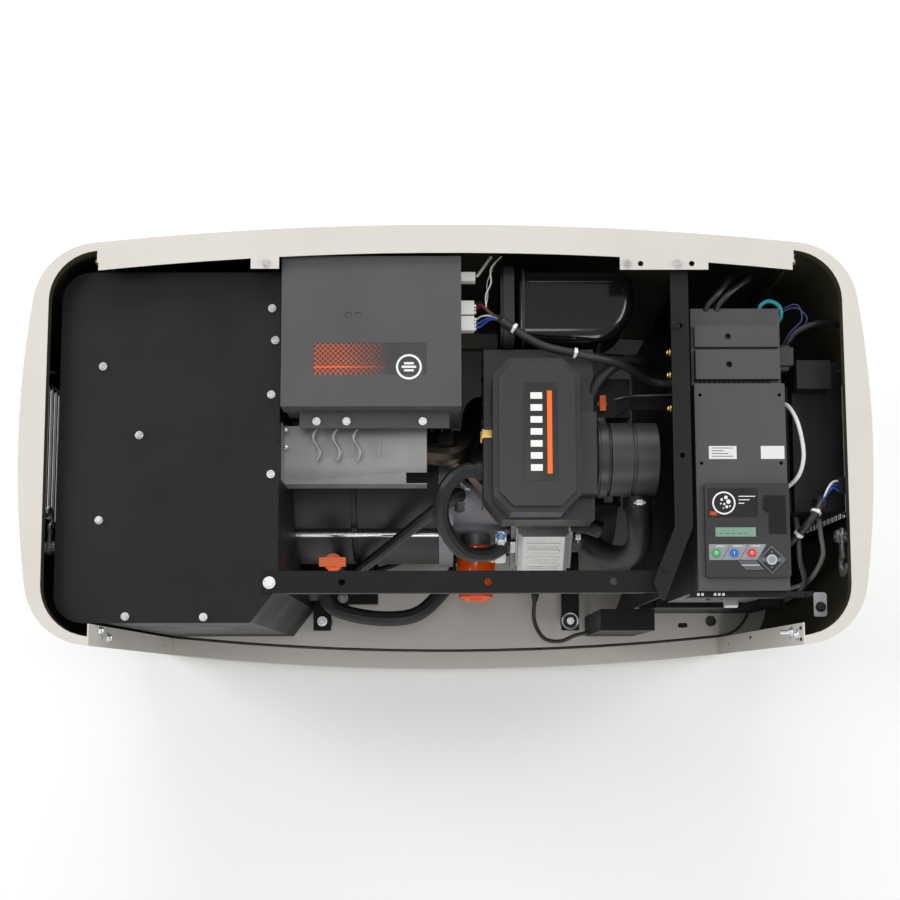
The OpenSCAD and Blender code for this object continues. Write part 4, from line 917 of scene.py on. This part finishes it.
# %% An outline with rounded corners
def rounded_outline(low, high, radii, steps=10):
    """Corner points of a rectangle with its own radius at each corner, counter-clockwise from low x, low y."""
    corners = [(low[0], low[1]), (high[0], low[1]), (high[0], high[1]), (low[0], high[1])]
    signs = [(1, 1), (-1, 1), (-1, -1), (1, -1)]
    points = []
    for i, ((x, y), (sx, sy), r) in enumerate(zip(corners, signs, radii)):
        if r <= 0:
            points.append((x, y))
            continue
        for k in range(steps + 1):
            a = math.pi + i * math.pi / 2 + k / steps * math.pi / 2
            points.append((x + sx * r + r * math.cos(a), y + sy * r + r * math.sin(a)))
    return points


# %% The scoop's shell, collar and rib
scoop_low, scoop_high = span("intake_scoop")
bm = bmesh.new()
outline = rounded_outline((scoop_low.x + 20, scoop_low.y + 7), (scoop_high.x - 0.5, scoop_high.y - 7),
                          (0, 66, 26, 0))
slab(bm, outline, scoop_low.z + 7, scoop_high.z - 7, 20, 6)
mouth = [f for f in bm.faces if f.normal.x < -0.95 and f.calc_center_median().x < (scoop_low.x + 21) * MM]
bmesh.ops.delete(bm, geom=mouth, context="FACES")
scoop = piece("scoop_shell", bm, "gloss_black_plastic", degrees=40)
wall = scoop.modifiers.new("moulded_wall", "SOLIDIFY")
wall.thickness = 2.4 * MM
wall.offset = -1.0
scoop.modifiers.move(len(scoop.modifiers) - 1, 0)
bm = bmesh.new()


def rim(x0, x1, grow):
    """A rounded rectangular frame round the scoop's neck."""
    outer = rounded_outline((scoop_low.y + 6 - grow, scoop_low.z + 6 - grow),
                            (scoop_high.y - 6 + grow, scoop_high.z - 6 + grow), (24,) * 4, 6)
    inner = rounded_outline((scoop_low.y + 10, scoop_low.z + 10), (scoop_high.y - 10, scoop_high.z - 10),
                            (20,) * 4, 6)
    rings = []
    for x, line in ((x0, outer), (x1, outer), (x1, inner), (x0, inner)):
        verts = [bm.verts.new((x * MM, y * MM, z * MM)) for y, z in line]
        rings.append([bm.edges.new((a, b)) for a, b in zip(verts, verts[1:] + verts[:1])])
    for a, b in zip(rings, rings[1:] + rings[:1]):
        bmesh.ops.bridge_loops(bm, edges=a + b)


for x0, x1, grow in ((5, 21, 6), (0.5, 5, 1), (33, 37, 2.5)):
    rim(scoop_low.x + x0, scoop_low.x + x1, grow)
piece("scoop_collar", bm, "soft_black_plastic", degrees=40)
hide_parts("intake_scoop")
crown = Vector((scoop_low.x + 40, scoop_high.y, scoop_high.z))
reach = scoop_high.x - 34 - crown.x
blocks("scoop_ribs", crown, [((2, -30, -8.5), (reach, -27.5, -5.6)), ((0, -64, -8.5), (2.5, -14, -5.4))],
       "gloss_black_plastic", 0.8)
print("scoop", [round(v) for v in scoop_low], [round(v) for v in scoop_high])

# %% [markdown]
# ## Fasteners and brackets
# Fasteners make a sheet-metal machine look real. Each one is a lathe shape: a washer, a flange and a
# six-sided or domed head. They are plated zinc, yellow or blue, as the real ones are.

# %% The lap joint between the two exhaust covers
rear_high = span("rear_panel")[1]
cover_f_low, cover_f_high = span("front_exhaust_cover")
print("covers at", round(cover_f_high.z, 1), "rear strip at", round(rear_high.z, 1))
seam = cover_f_high.y
lap = Vector((cover_f_low.x + 4, seam, cover_f_high.z))
reach = cover_f_high.x - 2 - lap.x
blocks("cover_lap_strip", lap, [((0, 0.4, 0.02), (reach, 9, 0.4))], "black_powder_coat", 0.15)
# A painted shadow: a flat black strip along the edge of the lap
blocks("cover_seam_shadow", lap, [((0, -1.4, -0.6), (reach, 0.4, 0.12))], "painted_shade_black", 0)


def heads(name, places, material, r=5.0, head=4.0, tilt=None, **extra):
    """One piece with a bolt head at each place."""
    bm = bmesh.new()
    for at in places:
        bolt(bm, at, r, head, tilt=tilt, **extra)
    piece(name, bm, material)


# %% Nuts on the end flanges: yellow on the left, zinc on the right
left_high, right_low, right_high = span("left_end_panel")[1], *span("right_end_panel")
edge_left, edge_right, flange_y = left_high.x, right_low.x, right_low.y
FACE_LEFT = Vector((-1, 0, 0)).to_track_quat("Z", "Y")
FACE_RIGHT = Vector((1, 0, 0)).to_track_quat("Z", "Y")
for name, x, facing, plating in (("left_flange_nuts", edge_left - 2.2, FACE_LEFT, "yellow_zinc_plate"),
                                 ("right_flange_nuts", edge_right + 2.2, FACE_RIGHT, "zinc_plate")):
    heads(name, [(x, rear_high.y - dy, rear_high.z - 18) for dy in (37.5, 49.5)], plating, 4.6, 5.5, facing)

# %% Spring clips with screws on the left front flange, a stud and a screw on the right one
bm = bmesh.new()
for dy, dz in ((23.78, 52), (14.78, 96)):
    at = Vector((edge_left + 0.2, flange_y + dy, left_high.z - dz))
    block(bm, at + Vector((0, -7, -9)), at + Vector((1.4, 7, 9)), 0.5)
    bolt(bm, at + Vector((1.4, 0, 0)), 4.4, 5, tilt=FACE_RIGHT, washer=False)
piece("left_flange_clips", bm, "zinc_plate")
bm = bmesh.new()
at = Vector((edge_right - 0.2, flange_y + 19.78, right_high.z - 56))
bolt(bm, at, 5.2, 4, tilt=FACE_LEFT)
drum(bm, 3.2, at + Vector((-4, 0, 0)), 14, tilt=FACE_LEFT, steps=20)
at = Vector((edge_right - 0.2, flange_y + 14.78, right_high.z - 26))
block(bm, at + Vector((-1.4, -8, -8)), at + Vector((0, 8, 8)), 0.5)
bolt(bm, at + Vector((-1.4, 0, 0)), 4.2, 4, tilt=FACE_LEFT, washer=False)
piece("right_flange_stud", bm, "zinc_plate")
# The slots are flat black patches: painted shade in place of cut openings
slots = [(-0.3, dy, -dz) for dy, dz in ((23.78, 12), (7.78, 12), (21.78, 300))]
blocks("flange_slots", (edge_right, flange_y, right_high.z),
       [((x - 0.25, y - 2.2, z - 5), (x + 0.05, y + 2.2, z + 5)) for x, y, z in slots],
       "painted_shade_black", 0)

# %% The grey tab and the bracket rail at the right front corner
bm = bmesh.new()
tab_x, tab_y = box_high.x + 36, box_low.y - 37
slab(bm, rounded_outline((tab_x, tab_y), (tab_x + 19, tab_y + 35), (3, 5, 5, 3), 4),
     box_high.z - 10, box_high.z - 8, 0.5)
piece("corner_tab", bm, "grey_key_film")
heads("corner_tab_bolt", [(tab_x + 9.5, tab_y + 14, box_high.z - 8)], "black_powder_coat", 4.8, 4)
corner = Vector((box_low.x, box_low.y, box_high.z))
reach = tab_x - corner.x
blocks("corner_rail", corner, [((-2, -9, -16), (reach + 2, -0.4, -13)), ((-2, -9, -40), (reach + 2, -7, -14)),
                               ((reach - 10, -7, -14), (reach + 4, -3, -10))],
       "black_powder_coat")
blocks("corner_rail_terminals", corner, [((x, -6.5, -13), (x + 3.6, -2.6, -9.5)) for x in (8, 14, 32, 38, 44)],
       "white_nylon")
print("corner tab at", round(tab_x), round(tab_y))

# %% Bolts on the engine baffle's flange and a slanted edge bolt
baf_high = span("engine_baffle")[1]
heads("baffle_yellow_bolts", [baf_high + Vector((-20.5, -dy, -40)) for dy in (116, 150, 200)],
      "yellow_zinc_plate", 4.2, tilt=FACE_LEFT)
heads("baffle_edge_bolts", [(baf_high.x - 40, box_low.y + 30, baf_high.z), baf_high + Vector((-20, -87, 0))],
      "black_powder_coat", 4.6, 3)
heads("baffle_corner_bolt", [(baf_high.x - 44, box_low.y - 4, baf_high.z - 14)],
      "zinc_plate", 4.4, tilt=Vector((1, -0.38, 0)).to_track_quat("Z", "Y"))

# %% Cup washer on the front foot, a bolt on the rear one, and the alternator's foot
iso_low, iso_high = span("isolators")
foot_x, foot_y = iso_high.x - 16.5, iso_low.y + 16.5
rail_top = iso_high.z + 4.7
bm = bmesh.new()
turned(bm, [(15.6, 0), (15.9, 0.6), (15.6, 2.8), (14.4, 3.2), (12.6, 2.6), (11.6, 0.9), (10.6, 0.4), (10.6, 0),
            (15.6, 0)], (foot_x, foot_y, rail_top), steps=48)
for x, y, lift in ((foot_x, foot_y, 0.4), (-foot_x, foot_y, 0), (foot_x, -foot_y, 0), (-foot_x, -foot_y, 0)):
    bolt(bm, (x, y, rail_top + lift), 5.6, 5)
piece("isolator_washers", bm, "zinc_plate")
bm = bmesh.new()
band(bm, 6.2, 11.4, (foot_x, foot_y, rail_top + 0.1), 1.6, steps=40)
piece("isolator_rubber", bm, "matt_hose_rubber")
bm = bmesh.new()
foot = Vector((1 - foot_x, foot_y + 28.95, rail_top))
slab(bm, rounded_outline((foot.x + 18, foot.y), (foot.x + 52, foot.y + 32), (6, 6, 2, 2), 4),
     foot.z, foot.z + 4, 0.6)
block(bm, foot + Vector((22, 28, 3.5)), foot + Vector((48, 32, 34)), 0.8)
piece("alternator_foot", bm, "black_powder_coat")
heads("alternator_foot_bolt", [foot + Vector((37, 14, 4))], "bare_steel", 6.2, 5)
print("hardware done")

# %% [markdown]
# ## Engine details
# The V-twin's heads lean forty-five degrees each way. One function turns a point on a head, given
# along the crank, across the head and out from the crank, into a point in the machine.

# %% Points and directions on a leaning head
valve_low, valve_high = span("valve_covers")
rotor = next(j for j in frame["record"]["behaviour"]["joints"] if j["name"] == "rotor_spin")
crank = Vector(rotor["pos_m"]) / MM
LEAN = math.sqrt(0.5)


def on_head(side_sign, x, across, out_by):
    """A point on the front (-1) or the rear (+1) head."""
    return Vector((x, crank.y + LEAN * (side_sign * out_by + across),
                   crank.z + LEAN * (out_by - side_sign * across)))


def outward(side_sign):
    """The direction in which a head points."""
    return Vector((0, side_sign * LEAN, LEAN)).to_track_quat("Z", "Y")


HEAD_MID = {-1: valve_high.x - 42, 1: valve_low.x + 42}
for side_sign, where in ((-1, "front"), (1, "rear")):
    mid = HEAD_MID[side_sign]
    places = [on_head(side_sign, mid + dx, dy, 186) for dx in (-37, 37) for dy in (-41, 41)]
    heads(f"{where}_cover_bolts", places, "yellow_zinc_plate", 4.4, 5, tilt=outward(side_sign), washer=False)
print("heads at x", HEAD_MID)

# %% Raised bars cast into the front valve cover
front_mid = HEAD_MID[-1]
COVER_TOP = 212.6  # from the crank's axis, along the head


def headwise(verts, x, across, out_by, twist=0.0):
    """Puts vertices made round the origin onto the front head."""
    turn = Matrix.Rotation(math.radians(45), 4, "X") @ Matrix.Rotation(twist, 4, "Z")
    bmesh.ops.transform(bm, matrix=Matrix.Translation(on_head(-1, x, across, out_by) * MM) @ turn, verts=verts)


bm = bmesh.new()
for across in (-27, -23, -19, 13, 17, 21):
    headwise(block(bm, (-24, -0.9, 0), (24, 0.9, 1.3), 0.4, 1), front_mid, across, COVER_TOP)
for i in range(4):
    headwise(block(bm, (-0.9, -6, 0), (0.9, 6, 1.3), 0.4, 1), front_mid - 18 + i * 12, -3, COVER_TOP, 0.35)
piece("front_cover_bars", bm, "sand_cast_aluminium")

# %% Bright strap with its blued bolt, the brass fitting and the wrinkle-painted elbow
strap_mid = front_mid - 66
STRAP_SEAT = 178.6  # from the crank's axis, along the head
bm = bmesh.new()
strap = slab(bm, rounded_outline((-9, -38), (9, 30), (4, 4, 8, 8), 5), 0, 2.4, 0.7)
headwise(strap, strap_mid, 0, STRAP_SEAT)
headwise(block(bm, (6, -16, 0), (24, 6, 2.4), 0.6), strap_mid, 0, STRAP_SEAT)
bead = slab(bm, rounded_outline((-6.5, -34), (6.5, 14), (3, 3, 6, 6), 5), 2.2, 5.0, 1.6, 3)
headwise(bead, strap_mid, 0, STRAP_SEAT)
piece("head_strap", bm, "zinc_plate")
heads("head_strap_bolt", [on_head(-1, strap_mid, 21, 181)], "blued_zinc_plate", 6.0, 4.5, tilt=outward(-1))
bm = bmesh.new()
at = on_head(-1, strap_mid - 9.4, -30, 179)
drum(bm, 6.5, at, 5, tilt=FACE_LEFT, steps=6)
drum(bm, 5.0, at + Vector((-4.6, 0, 0)), 9, tilt=FACE_LEFT)
piece("brass_fitting", bm, "brass")
elbow = on_head(-1, front_mid + 50.4, 30, 165)
cable("breather_elbow", route_from(elbow, [(0, 0, 0), (10, -1, 5), (22, -4, 12), (34, -9, 15), (42, -12, 15)]),
      13.5, "wrinkle_black_coat", resolution=8, per=8, step=2.5)
bm = bmesh.new()
for dx, dy in ((2, 13), (6, 18), (11, 12)):
    drum(bm, 2.4, elbow + Vector((dx, dy, 4)), 8, steps=12)
piece("head_studs", bm, "zinc_plate")

# %% Clamps where the hoses end
def clamp(at, along, radius, width=9):
    """A worm-drive clamp: a band with its screw box."""
    turn = Vector(along).to_track_quat("Z", "Y")
    start = Vector(at) - Vector(along).normalized() * width / 2
    band(bm, radius, radius + 1.3, start, width, steps=40, width=0.3, tilt=turn)
    for made in (block(bm, (-5, radius + 0.6, -4.4), (5, radius + 6.4, 4.4), 0.8),
                 drum(bm, 2.6, (-9, radius + 4, 0), 18, "x", 16)):
        move(bm, made, turn.to_matrix(), by=Vector(at))


hose = span("intake_hose")[0]
drain = span("hoses")[1]
bm = bmesh.new()
clamp(hose + Vector((8.6, 54.94, 22)), (1, 0, 0), 19.2)
clamp(hose + Vector((85.6, 88.94, 169)), (0, 1, 0), 19.6)
clamp(drain + Vector((-77.6, -123.96, -390)), (-0.25, -1, 0), 14.2)
clamp(drain + Vector((-82.6, -39.96, -83)), (-0.4, -0.5, 1), 12.2, 7)
piece("hose_clamps", bm, "zinc_plate")
res_low, res_high = span("resonator")
neck = Vector((res_low.x, (res_low.y + res_high.y) / 2, (res_low.z + res_high.z) / 2))
bm = bmesh.new()
band(bm, 56.2, 58, neck + Vector((6, 0, 0)), 12, "x", 64, 0.4)
move(bm, block(bm, (-6, 56, -8), (6, 63, 8), 1.0), by=neck + Vector((12, 0, 0)))
piece("snorkel_clamp", bm, "soft_black_plastic")

# %% Spring latch on the airbox, and ribs on its base
base_low, base_high = span("airbox_base")
bm = bmesh.new()
at = Vector((base_low.x + 1, (base_low.y + base_high.y) / 2, base_high.z))
block(bm, at + Vector((-3, -8, -26)), at + Vector((-0.8, 8, 2)), 0.6)
block(bm, at + Vector((-3, -6, 0.4)), at + Vector((12, 6, 2.4)), 0.6)
drum(bm, 2.6, at + Vector((-3.4, -9, -24)), 18, "y", 20)
piece("airbox_latch", bm, "yellow_zinc_plate")
bm = bmesh.new()
for i in range(9):
    y = base_low.y + 24 + i * 25
    block(bm, (base_low.x - 1.6, y, base_low.z + 12), (base_low.x + 0.6, y + 2.4, base_high.z - 2), 0.5, 1)
    block(bm, (base_high.x - 26.6, y, base_low.z + 24), (base_high.x - 24.8, y + 2.4, base_high.z - 2), 0.5, 1)
piece("airbox_ribs", bm, "soft_black_plastic")

# %% Fuel shut-off: bracket under the orange knob, its linkage wire and the vacuum hose
knob_low, knob_high = span("fuel_selector")
deck = span("fuel_regulator")[1].z
bm = bmesh.new()
slab(bm, rounded_outline((knob_low.x - 6, knob_low.y - 8), (knob_high.x + 16, knob_high.y + 6), (4,) * 4, 4),
     deck + 0.2, deck + 1.6, 0.4)
piece("fuel_bracket", bm, "black_powder_coat")
knob = Vector((knob_high.x, knob_high.y, deck))
cable("fuel_linkage", route_from(knob, [(12, -4, 4), (24, -2, 6), (46, 2, 2)]) + [
    Vector((baf_high.x - 2.4, knob_high.y + 4, deck))], 1.3, "bare_steel")
spigot = Vector((base_high.x, base_low.y + 166, base_high.z))
cable("vacuum_hose", route_from(spigot, [(-26, 0, -28), (-10, 8, -16), (6, 42, -4), (34, 70, -8), (72, 84, -30),
      (100, 88, -70)]) + [Vector((baf_high.x - 2.6, spigot.y + 92, spigot.z - 90))],
      9, "black_hose_rubber", resolution=8)
print("engine dressed")
